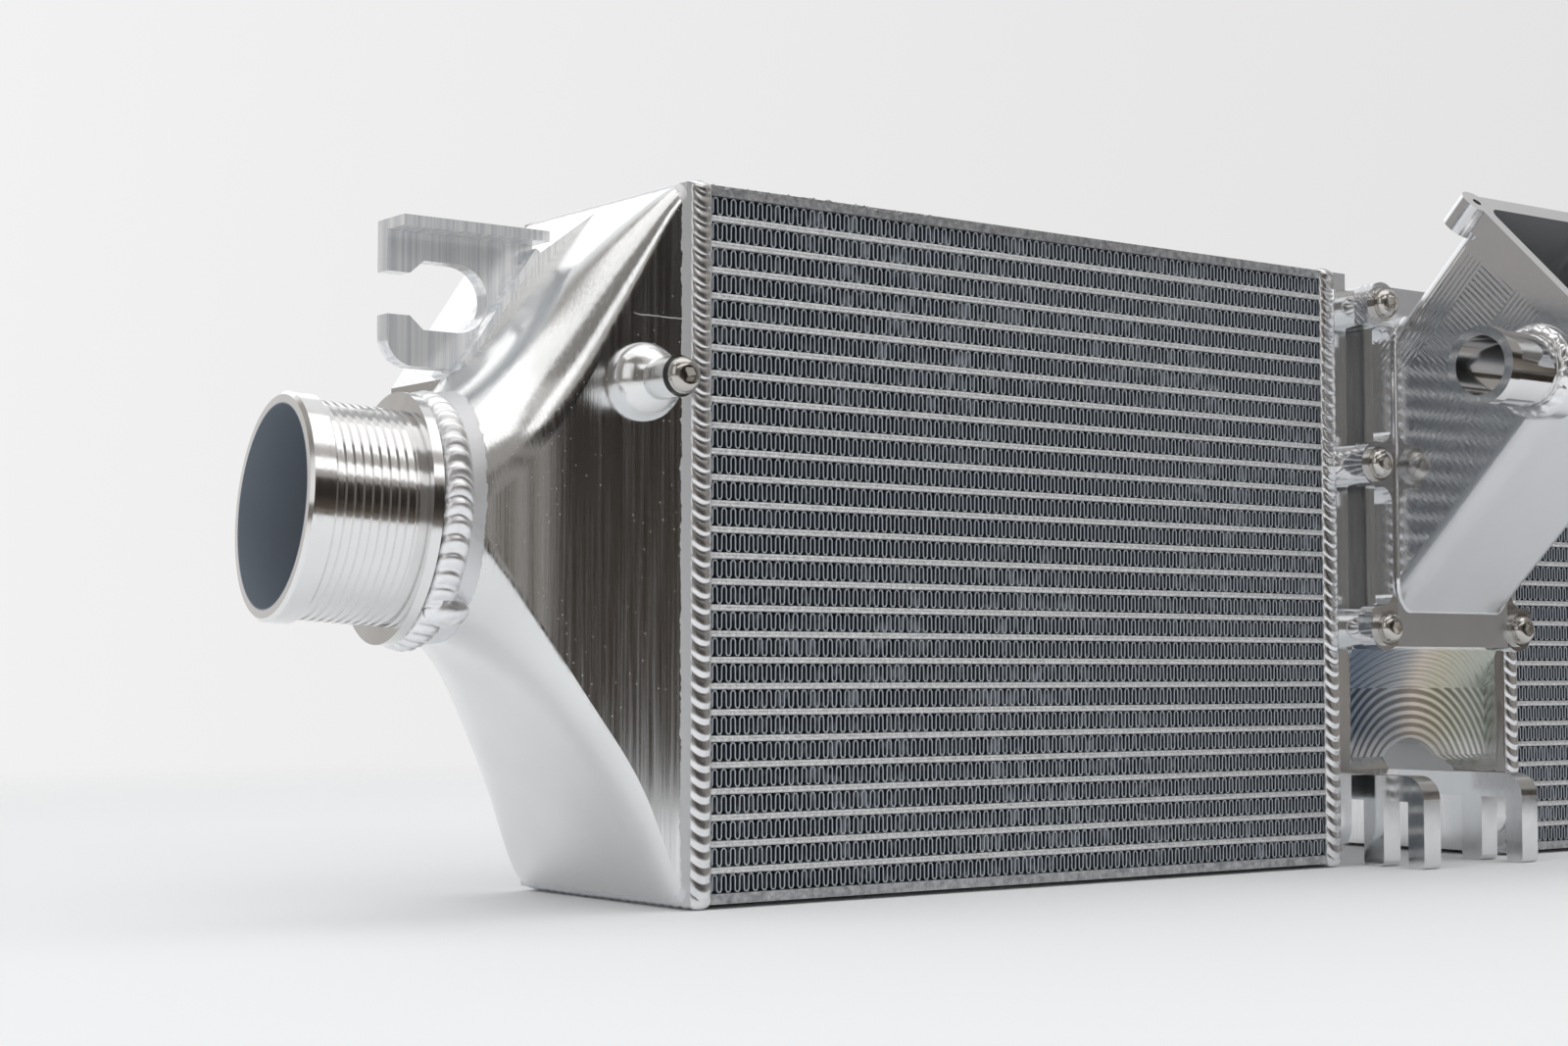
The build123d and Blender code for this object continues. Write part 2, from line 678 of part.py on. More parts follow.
plate_side = duct_width / 2 + plate_margin
ear_tip = bolt_side_x + plate_ear_radius
scallop_width = 2 * (ear_tip - plate_side)
scallop_height = bolt_middle - bolt_low - 2 * plate_ear_radius
scallop_places = [
    (side * ear_tip, base + z)
    for side in (-1, 1)
    for z in ((bolt_low + bolt_middle) / 2, (bolt_middle + bolt_high) / 2)
]
with BuildPart() as outlet_duct:
    with BuildSketch(Plane.XZ.offset(-sealing_face)) as plate_outline:
        with Locations((0, base + (plate_low + plate_high) / 2)):
            RectangleRounded(2 * ear_tip, plate_high - plate_low, plate_ear_radius)
        with Locations(scallop_places):
            RectangleRounded(scallop_width, scallop_height, plate_scallop, mode=Mode.SUBTRACT)
        with Locations(bolt_places):
            Circle(plate_ear_radius)
    extrude(amount=plate_thickness)
    tips = outlet_duct.edges().filter_by(Axis.Y)
    tips = tips.filter_by_position(
        Axis.Z, base + bolt_low + plate_ear_radius - 0.1, base + bolt_low + plate_ear_radius + 0.1
    ) + tips.filter_by_position(
        Axis.Z, base + bolt_high - plate_ear_radius - 0.1, base + bolt_high - plate_ear_radius + 0.1
    )
    fillet(tips.group_by(Axis.X)[0] + tips.group_by(Axis.X)[-1], plate_tip_round)
    add(duct_outside.part)
    seam = outlet_duct.edges().filter_by_position(Axis.Y, plate_face - 0.01, plate_face + 0.01)
    seam = seam.filter_by_position(Axis.X, -duct_width / 2 - 0.1, duct_width / 2 + 0.1)
    seam = seam.filter_by_position(Axis.Z, base + plate_low + 8, base + plate_high - 8)
    fillet(seam, 0.8 * plate_margin)
    with BuildSketch(duct_plane):
        RectangleRounded(lip_width, lip_height, duct_corner)
    extrude(amount=-lip_thickness)
    ear_x = lip_width / 2 - ear_inset_side
    ear_places = [(-ear_x, lip_height / 2 - ear_inset_top), (ear_x, lip_height / 2 - ear_inset_top)]
    with BuildSketch(duct_plane):
        with Locations(ear_places):
            Circle(ear_radius)
    extrude(amount=-ear_length)
    add(air_channel.part, mode=Mode.SUBTRACT)
    with BuildSketch(duct_plane):
        with Locations(ear_places):
            Circle(ear_hole_radius)
    extrude(amount=-ear_length, mode=Mode.SUBTRACT)
    with BuildSketch(Plane.XZ.offset(-sealing_face)):
        with Locations(bolt_places):
            Circle(screw_radius + screw_hole_clearance)
    extrude(amount=plate_thickness, mode=Mode.SUBTRACT)
    with BuildSketch(stub_root.offset(stub_length)):
        Circle(stub_bore_radius)
    extrude(amount=-stub_length - duct_corner, mode=Mode.SUBTRACT)
    # groove for the seal
    with BuildSketch(Plane.XZ.offset(-sealing_face)):
        with Locations((0, window_middle)):
            seal_inner = 2 * seal_clear
            seal_outer = 2 * (seal_clear + seal_width)
            RectangleRounded(window_width + seal_outer, window_height + seal_outer, duct_corner)
            RectangleRounded(
                window_width + seal_inner, window_height + seal_inner, duct_corner - seal_width,
                mode=Mode.SUBTRACT,
            )
    extrude(amount=seal_thickness, mode=Mode.SUBTRACT)
save(outlet_duct.part, "outlet_duct")

with BuildPart() as outlet_seal:
    with BuildSketch(Plane.XZ.offset(-sealing_face)):
        with Locations((0, window_middle)):
            RectangleRounded(window_width + seal_outer, window_height + seal_outer, duct_corner)
            RectangleRounded(
                window_width + seal_inner, window_height + seal_inner, duct_corner - seal_width,
                mode=Mode.SUBTRACT,
            )
    extrude(amount=seal_thickness)
save(outlet_seal.part, "outlet_seal")

# ======== Outlet bolts and washers ========
with BuildPart() as bolt_washers:
    with BuildSketch(Plane.XZ.offset(-plate_face)):
        with Locations(bolt_places):
            Circle(washer_radius)
            Circle(screw_radius + screw_hole_clearance, mode=Mode.SUBTRACT)
    extrude(amount=washer_thickness)
save(bolt_washers.part, "bolt_washers")

with BuildPart() as outlet_bolts:
    with Locations([
        Plane(origin=(x, plate_face - washer_thickness, z), x_dir=(1, 0, 0), z_dir=(0, -1, 0))
        for x, z in bolt_places
    ]):
        add(button_screw(screw_length))
save(outlet_bolts.part, "outlet_bolts")

# ======== Hose stub on the duct, and its weld ========
with BuildPart() as valve_stub:
    with BuildSketch(stub_root.offset(stub_length)):
        Circle(stub_collar_radius)
    extrude(amount=-stub_collar_length)
    with BuildSketch(stub_root.offset(stub_length)):
        Circle(stub_radius)
    extrude(amount=-stub_length - duct_corner)
    with BuildSketch(stub_root.offset(stub_length)):
        Circle(stub_bore_radius)
    extrude(amount=-stub_length - duct_corner, mode=Mode.SUBTRACT)
    add(duct_outside.part, mode=Mode.SUBTRACT)
save(valve_stub.part, "valve_stub")

with BuildPart() as stub_weld:
    with BuildSketch(stub_root.offset(-duct_corner)):
        Circle(stub_radius + stub_weld_width)
    extrude(amount=duct_corner + stub_weld_height)
    fillet(stub_weld.faces().sort_by(Axis.X)[0].edges(), stub_weld_width * 0.9)
    with BuildSketch(stub_root.offset(-duct_corner)):
        Circle(stub_radius)
    extrude(amount=duct_corner + stub_weld_height, mode=Mode.SUBTRACT)
    add(duct_outside.part, mode=Mode.SUBTRACT)
save(stub_weld.part, "stub_weld")
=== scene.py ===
from math import cos, pi, radians, sin

import bpy
from mathutils import Matrix, Vector


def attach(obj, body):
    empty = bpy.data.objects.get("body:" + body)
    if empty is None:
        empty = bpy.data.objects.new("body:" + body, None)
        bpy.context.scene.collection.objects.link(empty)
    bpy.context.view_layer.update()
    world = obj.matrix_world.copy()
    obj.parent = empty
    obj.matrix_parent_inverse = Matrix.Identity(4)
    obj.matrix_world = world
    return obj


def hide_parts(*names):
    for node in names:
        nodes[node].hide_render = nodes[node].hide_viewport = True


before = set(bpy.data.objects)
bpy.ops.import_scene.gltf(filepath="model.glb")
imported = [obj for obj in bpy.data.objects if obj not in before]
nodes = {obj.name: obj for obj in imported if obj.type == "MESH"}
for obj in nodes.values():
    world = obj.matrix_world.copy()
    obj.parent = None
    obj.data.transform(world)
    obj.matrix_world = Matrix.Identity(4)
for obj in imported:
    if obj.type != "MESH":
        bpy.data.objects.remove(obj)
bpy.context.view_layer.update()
scene = bpy.context.scene
scene.view_settings.view_transform = "Standard"
print("frame loaded:", len(nodes), "nodes")

mm = 0.001

# ---------- camera ----------
cameraSet = {
    "place": (-0.7547, -0.6039, 0.0688),
    "right": (0.7991, -0.6012, 0.0),
    "up": (-0.0354, -0.0472, 0.99826),
    "lens": 58.5,
    "sensor": 36.0,
}
right = Vector(cameraSet["right"]).normalized()
up = Vector(cameraSet["up"]).normalized()
back = right.cross(up)
bpy.ops.object.camera_add()
camera = bpy.context.object
camera.name = "photoCamera"
camera.matrix_world = Matrix((right, up, back)).transposed().to_4x4()
camera.location = cameraSet["place"]
camera.data.lens = cameraSet["lens"]
camera.data.sensor_width = cameraSet["sensor"]
camera.data.clip_start = 0.02
camera.data.clip_end = 60
scene.camera = camera


# ---------- small helpers ----------
def putNode(tree, kind, inputs=None, **settings):
    node = tree.nodes.new(kind)
    for name, value in settings.items():
        setattr(node, name, value)
    for name, value in (inputs or {}).items():
        if isinstance(value, bpy.types.NodeSocket):
            tree.links.new(value, node.inputs[name])
        else:
            node.inputs[name].default_value = value
    return node


def startGroup(name, inputs, outputs):
    tree = bpy.data.node_groups.new(name, "ShaderNodeTree")
    for label, kind, value in inputs:
        socket = tree.interface.new_socket(label, in_out="INPUT", socket_type="NodeSocket" + kind)
        if value is not None:
            socket.default_value = value
    for label, kind in outputs:
        tree.interface.new_socket(label, in_out="OUTPUT", socket_type="NodeSocket" + kind)
    return tree, tree.nodes.new("NodeGroupInput"), tree.nodes.new("NodeGroupOutput")


def fillGroup(tree, group, inputs):
    node = tree.nodes.new("ShaderNodeGroup")
    node.node_tree = group
    for name, value in inputs.items():
        if isinstance(value, bpy.types.NodeSocket):
            tree.links.new(value, node.inputs[name])
        else:
            node.inputs[name].default_value = value
    return node


def sums(tree, operation, first, second):
    return putNode(tree, "ShaderNodeMath", operation=operation, inputs={0: first, 1: second}).outputs[0]


def absolute(tree, value):
    return putNode(tree, "ShaderNodeMath", operation="ABSOLUTE", inputs={0: value}).outputs[0]


def span(tree, value, low, high, toLow=0.0, toHigh=1.0, kind="SMOOTHSTEP"):
    return putNode(tree, "ShaderNodeMapRange", interpolation_type=kind, inputs={
        "Value": value, "From Min": low, "From Max": high, "To Min": toLow, "To Max": toHigh}).outputs[0]


def mixValue(tree, factor, first, second):
    return putNode(tree, "ShaderNodeMix", data_type="FLOAT", inputs={
        0: factor, 2: first, 3: second}).outputs[0]


def blend(tree, factor, first, second):
    mix = putNode(tree, "ShaderNodeMix", data_type="RGBA", inputs={0: factor})
    for socket, value in ((mix.inputs[6], first), (mix.inputs[7], second)):
        if isinstance(value, bpy.types.NodeSocket):
            tree.links.new(value, socket)
        else:
            socket.default_value = (*value, 1)
    return mix.outputs[2]


def splitVector(tree, vector):
    parts = putNode(tree, "ShaderNodeSeparateXYZ", inputs={0: vector})
    return [parts.outputs[axis] for axis in ("X", "Y", "Z")]


def cloudNoise(tree, vector, scale, detail=2.0, roughness=0.5):
    return putNode(tree, "ShaderNodeTexNoise", inputs={
        "Vector": vector, "Scale": scale, "Detail": detail, "Roughness": roughness}).outputs[0]


def emptyTree(holder):
    holder.use_nodes = True
    holder.node_tree.nodes.clear()
    return holder.node_tree


# ---------- world, floor and lamps ----------
studio = {
    "wallTones": (0.885, 0.775),
    "wallSpan": (0.33, 0.8),  # from left to right, as directions
    "roomTone": 0.40,  # the side of the room behind the camera
    "roomSpan": (-0.2, 0.4),
    "ceilingTone": 0.68,
    "ceilingSpan": (0.3, 0.95),
    "leftBackTone": 0.40,  # beyond the left end of the backdrop
    "leftBackSpan": (-0.28, -0.1),
    "belowTone": 0.95,
    "belowSpan": (-0.12, -0.02),
    "dimTint": (1.0, 0.91, 0.82),
    "fill": 0.67,
    "fillTint": (0.97, 0.985, 1, 1),
    "floorTone": 0.96,
    "floorSize": 6,
    "floorFade": (0.6, 1.25),
}
world = bpy.data.worlds.new("studioWorld")
scene.world = world
tree = emptyTree(world)
ray = putNode(tree, "ShaderNodeLightPath")
seen = putNode(tree, "ShaderNodeMath", operation="ADD", use_clamp=True, inputs={
    0: sums(tree, "ADD", ray.outputs["Is Camera Ray"], ray.outputs["Is Glossy Ray"]),
    1: ray.outputs["Is Transmission Ray"]}).outputs[0]
x, y, z = splitVector(tree, putNode(tree, "ShaderNodeTexCoord").outputs["Generated"])
wall = span(tree, x, *studio["wallSpan"], *studio["wallTones"], kind="LINEAR")
room = span(tree, y, *studio["roomSpan"], studio["roomTone"], 1.0)
ceiling = span(tree, z, *studio["ceilingSpan"], 0.0, studio["ceilingTone"])
leftBack = span(tree, x, *studio["leftBackSpan"], studio["leftBackTone"], 1.0)
below = span(tree, z, *studio["belowSpan"], studio["belowTone"], 0.0)
roomy = sums(tree, "MULTIPLY", sums(tree, "MAXIMUM", room, ceiling), leftBack)
roomy = sums(tree, "MAXIMUM", roomy, below)
mirrored = mixValue(tree, ray.outputs["Is Camera Ray"], roomy, 1.0)
wallLight = putNode(tree, "ShaderNodeBackground", inputs={
    "Color": blend(tree, mirrored, studio["dimTint"], (1, 1, 1)),
    "Strength": sums(tree, "MULTIPLY", wall, mirrored)})
fillLight = putNode(tree, "ShaderNodeBackground", inputs={
    "Color": studio["fillTint"], "Strength": studio["fill"]})
mixed = putNode(tree, "ShaderNodeMixShader", inputs={
    0: seen, 1: fillLight.outputs[0], 2: wallLight.outputs[0]})
putNode(tree, "ShaderNodeOutputWorld", inputs={0: mixed.outputs[0]})

bpy.ops.object.select_all(action="DESELECT")
bpy.ops.mesh.primitive_circle_add(vertices=96, radius=studio["floorSize"], fill_type="NGON",
                                  location=(0, 0, 0))
floor = bpy.context.object
floor.name = "studioFloor"
material = bpy.data.materials.new("palePaper")
tree = emptyTree(material)
spot = putNode(tree, "ShaderNodeTexCoord").outputs["Object"]
reach = putNode(tree, "ShaderNodeVectorMath", operation="LENGTH", inputs={0: spot}).outputs["Value"]
paper = putNode(tree, "ShaderNodeBsdfDiffuse", inputs={
    "Color": (studio["floorTone"],) * 3 + (1,)})
clear = putNode(tree, "ShaderNodeBsdfTransparent")
mixed = putNode(tree, "ShaderNodeMixShader", inputs={
    0: span(tree, reach, *studio["floorFade"]), 1: paper.outputs[0], 2: clear.outputs[0]})
putNode(tree, "ShaderNodeOutputMaterial", inputs={0: mixed.outputs[0]})
floor.data.materials.append(material)

lampSet = {
    "overhead": {"place": (-0.2, -0.05, 1.3), "aim": (-0.15, 0.05, 0.1), "size": (1.9, 0.85), "power": 4.2},
    "frontTop": {"place": (-0.3, -1.15, 1.15), "aim": (-0.1, 0.05, 0.1), "size": (1.8, 0.35), "power": 2.0},
    "leftSide": {"place": (-1.35, -0.35, 0.65), "aim": (-0.35, 0.05, 0.1), "size": (0.6, 0.9), "power": 1.2},
    "behind": {"place": (0.2, 1.3, 0.9), "aim": (0, 0.05, 0.1), "size": (1.6, 0.6), "power": 1.2},
}
for name, lamp in lampSet.items():
    bpy.ops.object.light_add(type="AREA", location=lamp["place"])
    light = bpy.context.object
    light.name = name + "Lamp"
    light.data.shape = "RECTANGLE"
    light.data.size, light.data.size_y = lamp["size"]
    light.data.energy = lamp["power"]
    aim = Vector(lamp["aim"]) - Vector(lamp["place"])
    light.rotation_mode = "QUATERNION"
    light.rotation_quaternion = aim.to_track_quat("-Z", "Y")

# dark cards ahead and to the right, which only the polished metal sees
cardSet = {
    "standing": {"place": (-0.16, -1.92, 0.35), "size": (3.1, 1.3), "turn": (90, 0, 32)},
    "slatNear": {"place": (1.35, -1.05, 0.35), "size": (0.26, 1.3), "turn": (90, 0, 50)},
    "slatFar": {"place": (1.72, -0.60, 0.35), "size": (0.34, 1.3), "turn": (90, 0, 70)},
    "lying": {"place": (0.20, -0.92, 0.002), "size": (1.5, 1.0), "turn": (0, 0, 32)},
}
cardTone = {
    "cloud": 1.6,
    "cloudSpan": (0.35, 0.7),
    "tones": ((0.008, 0.007, 0.0065, 1), (0.060, 0.045, 0.034, 1)),
    "pale": (0.20, 0.17, 0.14),  # towards the left end
    "paleSpan": (-0.45, 0.0),
    "fade": (0.34, 0.5),  # both ends turn clear, so no hard edge shows
}
material = bpy.data.materials.new("darkCard")
tree = emptyTree(material)
spot = putNode(tree, "ShaderNodeTexCoord").outputs["Object"]
tone = putNode(tree, "ShaderNodeValToRGB", inputs={0: cloudNoise(tree, spot, cardTone["cloud"])})
for element, position, shade in zip(tone.color_ramp.elements, cardTone["cloudSpan"], cardTone["tones"]):
    element.position, element.color = position, shade
x = splitVector(tree, spot)[0]
tone = blend(tree, span(tree, x, *cardTone["paleSpan"], 1.0, 0.0), tone.outputs[0], cardTone["pale"])
glow = putNode(tree, "ShaderNodeEmission", inputs={"Color": tone, "Strength": 1.0})
clear = putNode(tree, "ShaderNodeBsdfTransparent")
mixed = putNode(tree, "ShaderNodeMixShader", inputs={
    0: span(tree, absolute(tree, x), *cardTone["fade"]), 1: glow.outputs[0], 2: clear.outputs[0]})
putNode(tree, "ShaderNodeOutputMaterial", inputs={0: mixed.outputs[0]})
for name, card in cardSet.items():
    bpy.ops.mesh.primitive_grid_add(x_subdivisions=4, y_subdivisions=4, size=1, location=card["place"],
                                    rotation=[radians(t) for t in card["turn"]])
    panel = bpy.context.object
    panel.name = name + "Card"
    panel.scale = (*card["size"], 1)
    panel.data.materials.append(material)
    panel.visible_camera = False
    panel.visible_diffuse = False
    panel.visible_shadow = False
print("studio ready")

# ---------- finishes ----------
# grain: long scratches along one direction, for rolled, brushed and polished metal
grainGroup, given, made = startGroup(
    "longGrain",
    [("Vector", "Vector", None), ("Stretch", "Vector", (1, 1, 1)), ("Smooth", "Float", 0.1),
     ("Rough", "Float", 0.3)],
    [("Roughness", "Float"), ("Height", "Float")],
)
drawn = putNode(grainGroup, "ShaderNodeMapping", inputs={
    "Vector": given.outputs["Vector"], "Scale": given.outputs["Stretch"]})
fine = cloudNoise(grainGroup, drawn.outputs[0], 1.0, detail=5.0, roughness=0.65)
level = span(grainGroup, fine, 0.3, 0.7, given.outputs["Smooth"], given.outputs["Rough"], kind="LINEAR")
grainGroup.links.new(level, made.inputs["Roughness"])
grainGroup.links.new(fine, made.inputs["Height"])

# crust: small lumps and pits of brazed or cast metal
crustGroup, given, made = startGroup(
    "brazeCrust",
    [("Vector", "Vector", None), ("Scale", "Float", 600.0), ("Dark", "Color", (0.3, 0.3, 0.3, 1)),
     ("Light", "Color", (0.7, 0.7, 0.7, 1))],
    [("Color", "Color"), ("Height", "Float")],
)
lumps = cloudNoise(crustGroup, given.outputs["Vector"], given.outputs["Scale"], detail=6.0, roughness=0.7)
shade = blend(crustGroup, span(crustGroup, lumps, 0.32, 0.68, kind="LINEAR"),
              given.outputs["Dark"], given.outputs["Light"])
crustGroup.links.new(shade, made.inputs["Color"])
crustGroup.links.new(lumps, made.inputs["Height"])

# specks: scattered small marks left by handling
speckGroup, given, made = startGroup(
    "handlingSpecks",
    [("Vector", "Vector", None), ("Scale", "Float", 300.0), ("Amount", "Float", 0.12)],
    [("Mask", "Float")],
)
cells = putNode(speckGroup, "ShaderNodeTexVoronoi", inputs={
    "Vector": given.outputs["Vector"], "Scale": given.outputs["Scale"]})
dots = sums(speckGroup, "LESS_THAN", cells.outputs["Distance"], given.outputs["Amount"])
speckGroup.links.new(dots, made.inputs["Mask"])

# bands: fine parallel or round cutter marks, as a soft wave
bandGroup, given, made = startGroup(
    "cutterBands",
    [("Vector", "Vector", None), ("Pitch", "Float", 0.0025), ("Wobble", "Float", 0.0004)],
    [("Height", "Float")],
)
drift = cloudNoise(bandGroup, given.outputs["Vector"], 120.0)
shift = sums(bandGroup, "MULTIPLY", drift, given.outputs["Wobble"])
moved = sums(bandGroup, "ADD", splitVector(bandGroup, given.outputs["Vector"])[0], shift)
angle = sums(bandGroup, "MULTIPLY", sums(bandGroup, "DIVIDE", moved, given.outputs["Pitch"]), 2 * pi)
wave = putNode(bandGroup, "ShaderNodeMath", operation="SINE", inputs={0: angle})
bandGroup.links.new(wave.outputs[0], made.inputs["Height"])


def startFinish(name):
    material = bpy.data.materials.new(name)
    material.use_nodes = True
    tree = material.node_tree
    shader = tree.nodes["Principled BSDF"]
    spot = tree.nodes.new("ShaderNodeTexCoord").outputs["Object"]
    return material, tree, shader, spot


def bumpOn(tree, shader, height, strength, distance=0.0002, under=None):
    bumped = putNode(tree, "ShaderNodeBump", inputs={
        "Height": height, "Strength": strength, "Distance": distance})
    if under:
        tree.links.new(under, bumped.inputs["Normal"])
    tree.links.new(bumped.outputs[0], shader.inputs["Normal"])
    return bumped.outputs[0]


def metalFinish(name, tone, smooth, rough, stretch, bump, metal=1.0):
    material, tree, shader, spot = startFinish(name)
    shader.inputs["Metallic"].default_value = metal
    grain = fillGroup(tree, grainGroup, {
        "Vector": spot, "Stretch": stretch, "Smooth": smooth, "Rough": rough})
    colour = blend(tree, cloudNoise(tree, spot, 40.0), [part * 0.9 for part in tone], tone)
    tree.links.new(colour, shader.inputs["Base Color"])
    tree.links.new(grain.outputs["Roughness"], shader.inputs["Roughness"])
    normal = bumpOn(tree, shader, grain.outputs["Height"], bump)
    return material, tree, shader, spot, colour, grain.outputs["Roughness"], normal


def crustFinish(name, dark, light, scale, roughness, bump, metal=1.0):
    material, tree, shader, spot = startFinish(name)
    shader.inputs["Metallic"].default_value = metal
    shader.inputs["Roughness"].default_value = roughness
    crust = fillGroup(tree, crustGroup, {
        "Vector": spot, "Scale": scale, "Dark": (*dark, 1), "Light": (*light, 1)})
    tree.links.new(crust.outputs["Color"], shader.inputs["Base Color"])
    bumpOn(tree, shader, crust.outputs["Height"], bump, 0.0004)
    return material


metalSet = {
    "stub": {"name": "polishedStub", "tone": (0.86, 0.86, 0.86), "smooth": 0.05, "rough": 0.14,
             "stretch": (60, 600, 600), "bump": 0.03},
    "fork": {"name": "polishedFork", "tone": (0.80, 0.81, 0.82), "smooth": 0.08, "rough": 0.2,
             "stretch": (60, 600, 60), "bump": 0.06},
    "screw": {"name": "stainlessScrew", "tone": (0.62, 0.60, 0.57), "smooth": 0.08, "rough": 0.22,
              "stretch": (400, 400, 400), "bump": 0.05},
    "bracket": {"name": "brushedBracket", "tone": (0.98, 0.99, 1.0), "smooth": 0.10, "rough": 0.24,
                "stretch": (1500, 300, 40), "bump": 0.08, "metal": 0.42},
    "neck": {"name": "turnedNeck", "tone": (0.88, 0.88, 0.88), "smooth": 0.08, "rough": 0.2,
             "stretch": (900, 60, 60), "bump": 0.06},
    "tank": {"name": "polishedTank", "tone": (0.87, 0.88, 0.885), "smooth": 0.10, "rough": 0.25,
             "stretch": (1100, 1100, 16), "bump": 0.15},
    "manifold": {"name": "milledManifold", "tone": (0.84, 0.85, 0.86), "smooth": 0.07, "rough": 0.2,
                 "stretch": (900, 900, 60), "bump": 0.08, "metal": 0.95},
    "duct": {"name": "milledDuct", "tone": (0.77, 0.78, 0.80), "smooth": 0.07, "rough": 0.2,
             "stretch": (60, 500, 500), "bump": 0.03, "metal": 0.95},
}
crustSet = {
    "weld": {"name": "weldSilver", "dark": (0.80, 0.81, 0.83), "light": (0.97, 0.97, 0.98),
             "scale": 300.0, "roughness": 0.24, "bump": 0.06},
    "neckWeld": {"name": "weldSatin", "dark": (0.84, 0.85, 0.87), "light": (0.97, 0.97, 0.98),
                 "scale": 300.0, "roughness": 0.36, "bump": 0.12},
    "tube": {"name": "brazedTube", "dark": (0.50, 0.51, 0.52), "light": (1.0, 1.0, 1.0),
             "scale": 750.0, "roughness": 0.36, "bump": 0.6, "metal": 0.6},
    "plate": {"name": "brazedPlate", "dark": (0.26, 0.27, 0.29), "light": (0.72, 0.73, 0.74),
              "scale": 420.0, "roughness": 0.42, "bump": 0.6, "metal": 0.75},
    "header": {"name": "brazedHeader", "dark": (0.22, 0.23, 0.24), "light": (0.52, 0.52, 0.53),
               "scale": 600.0, "roughness": 0.45, "bump": 0.4, "metal": 0.75},
}
finishes = {key: metalFinish(**metalSet[key])[0] for key in ("stub", "fork", "screw")}
finishes.update({key: crustFinish(**values) for key, values in crustSet.items()})

# brackets: upright brushing that shows as paler and darker lines
brushSet = {"scale": (900, 300, 9), "span": (0.36, 0.62), "dark": (0.76, 0.78, 0.81), "light": (1, 1, 1)}
material, tree, shader, spot = metalFinish(**metalSet["bracket"])[:4]
brushed = putNode(tree, "ShaderNodeMapping", inputs={"Vector": spot, "Scale": brushSet["scale"]})
brushed = span(tree, cloudNoise(tree, brushed.outputs[0], 1.0, detail=4.0), *brushSet["span"])
tree.links.new(blend(tree, brushed, brushSet["dark"], brushSet["light"]), shader.inputs["Base Color"])
finishes["bracket"] = material

# turned neck: bright outside; its bore is duller and rougher, with painted shade in its darker bluish tone
neckSet = {
    "base": (-0.408, 0.029157, 0.1115),
    "swing": radians(7),  # the neck points a little backwards
    "lift": radians(4),  # and a little upwards
    "boreSpan": (0.0284, 0.0287),
    "boreShadeTone": (0.30, 0.34, 0.39),
    "boreRough": 0.45,
    "boreDull": 0.6,
}
neckAxis = Vector((
    -cos(neckSet["swing"]) * cos(neckSet["lift"]),
    sin(neckSet["swing"]) * cos(neckSet["lift"]),
    sin(neckSet["lift"]),
))


def neckFrame(tree, spot):
    # distance along the neck from its base, and distance from its centre line, alike on both sides
    x, y, z = splitVector(tree, spot)
    mirrored = putNode(tree, "ShaderNodeCombineXYZ", inputs={
        "X": sums(tree, "MULTIPLY", absolute(tree, x), -1.0), "Y": y, "Z": z}).outputs[0]
    offset = putNode(tree, "ShaderNodeVectorMath", operation="SUBTRACT", inputs={
        0: mirrored, 1: neckSet["base"]}).outputs["Vector"]
    along = putNode(tree, "ShaderNodeVectorMath", operation="DOT_PRODUCT", inputs={
        0: offset, 1: tuple(neckAxis)}).outputs["Value"]
    across = putNode(tree, "ShaderNodeVectorMath", operation="CROSS_PRODUCT", inputs={
        0: offset, 1: tuple(neckAxis)}).outputs["Vector"]
    radius = putNode(tree, "ShaderNodeVectorMath", operation="LENGTH", inputs={0: across}).outputs["Value"]
    return along, radius


material, tree, shader, spot, colour, roughness = metalFinish(**metalSet["neck"])[:6]
radius = neckFrame(tree, spot)[1]
boreMask = span(tree, radius, *neckSet["boreSpan"], 1.0, 0.0)
# painted shade: the bore's base colour is darker and bluish
tree.links.new(blend(tree, boreMask, colour, neckSet["boreShadeTone"]), shader.inputs["Base Color"])
tree.links.new(sums(tree, "SUBTRACT", 1.0, sums(tree, "MULTIPLY", boreMask, neckSet["boreDull"])),
               shader.inputs["Metallic"])
tree.links.new(mixValue(tree, boreMask, roughness, neckSet["boreRough"]), shader.inputs["Roughness"])
finishes["neck"] = material

# polished sheet of the end tanks: upright polishing lines, specks, and an etched border by the welds
tankSet = {
    "tear": 260.0,
    "ragged": 0.0032,  # how far the border's edge wanders
    "borderSpan": (0.3310, 0.3315),  # from the middle of the part
    "neckBorderSpan": (-0.0072, -0.0066),  # along the neck
    "etchedTone": (0.83, 0.84, 0.86),
    "markRough": 0.62,
    "etchedBump": (0.5, 0.0004),
    "specks": {"Scale": 420.0, "Amount": 0.07},
    "patch": 30.0,
    "patchSpan": (0.42, 0.55),
    "speckTone": (0.93, 0.93, 0.92),
}
scratchSet = {"height": 0.172, "wave": 0.0012, "width": (0.00012, 0.0002),
              "start": (-0.350, -0.348), "end": (-0.332, -0.331)}
material, tree, shader, spot, colour, roughness, normal = metalFinish(**metalSet["tank"])
x, y, z = splitVector(tree, spot)
tear = cloudNoise(tree, spot, tankSet["tear"], detail=5.0, roughness=0.7)
wander = sums(tree, "MULTIPLY", tear, tankSet["ragged"])
etched = span(tree, sums(tree, "SUBTRACT", absolute(tree, x), wander), *tankSet["borderSpan"], 1.0, 0.0)
along = neckFrame(tree, spot)[0]
etched = sums(tree, "MAXIMUM", etched,
              span(tree, sums(tree, "ADD", along, wander), *tankSet["neckBorderSpan"]))
offLine = sums(tree, "SUBTRACT", sums(tree, "SUBTRACT", z, sums(tree, "MULTIPLY", tear, scratchSet["wave"])),
               scratchSet["height"])
scratch = sums(tree, "MULTIPLY", span(tree, absolute(tree, offLine), *scratchSet["width"], 1.0, 0.0),
               span(tree, x, *scratchSet["start"]))
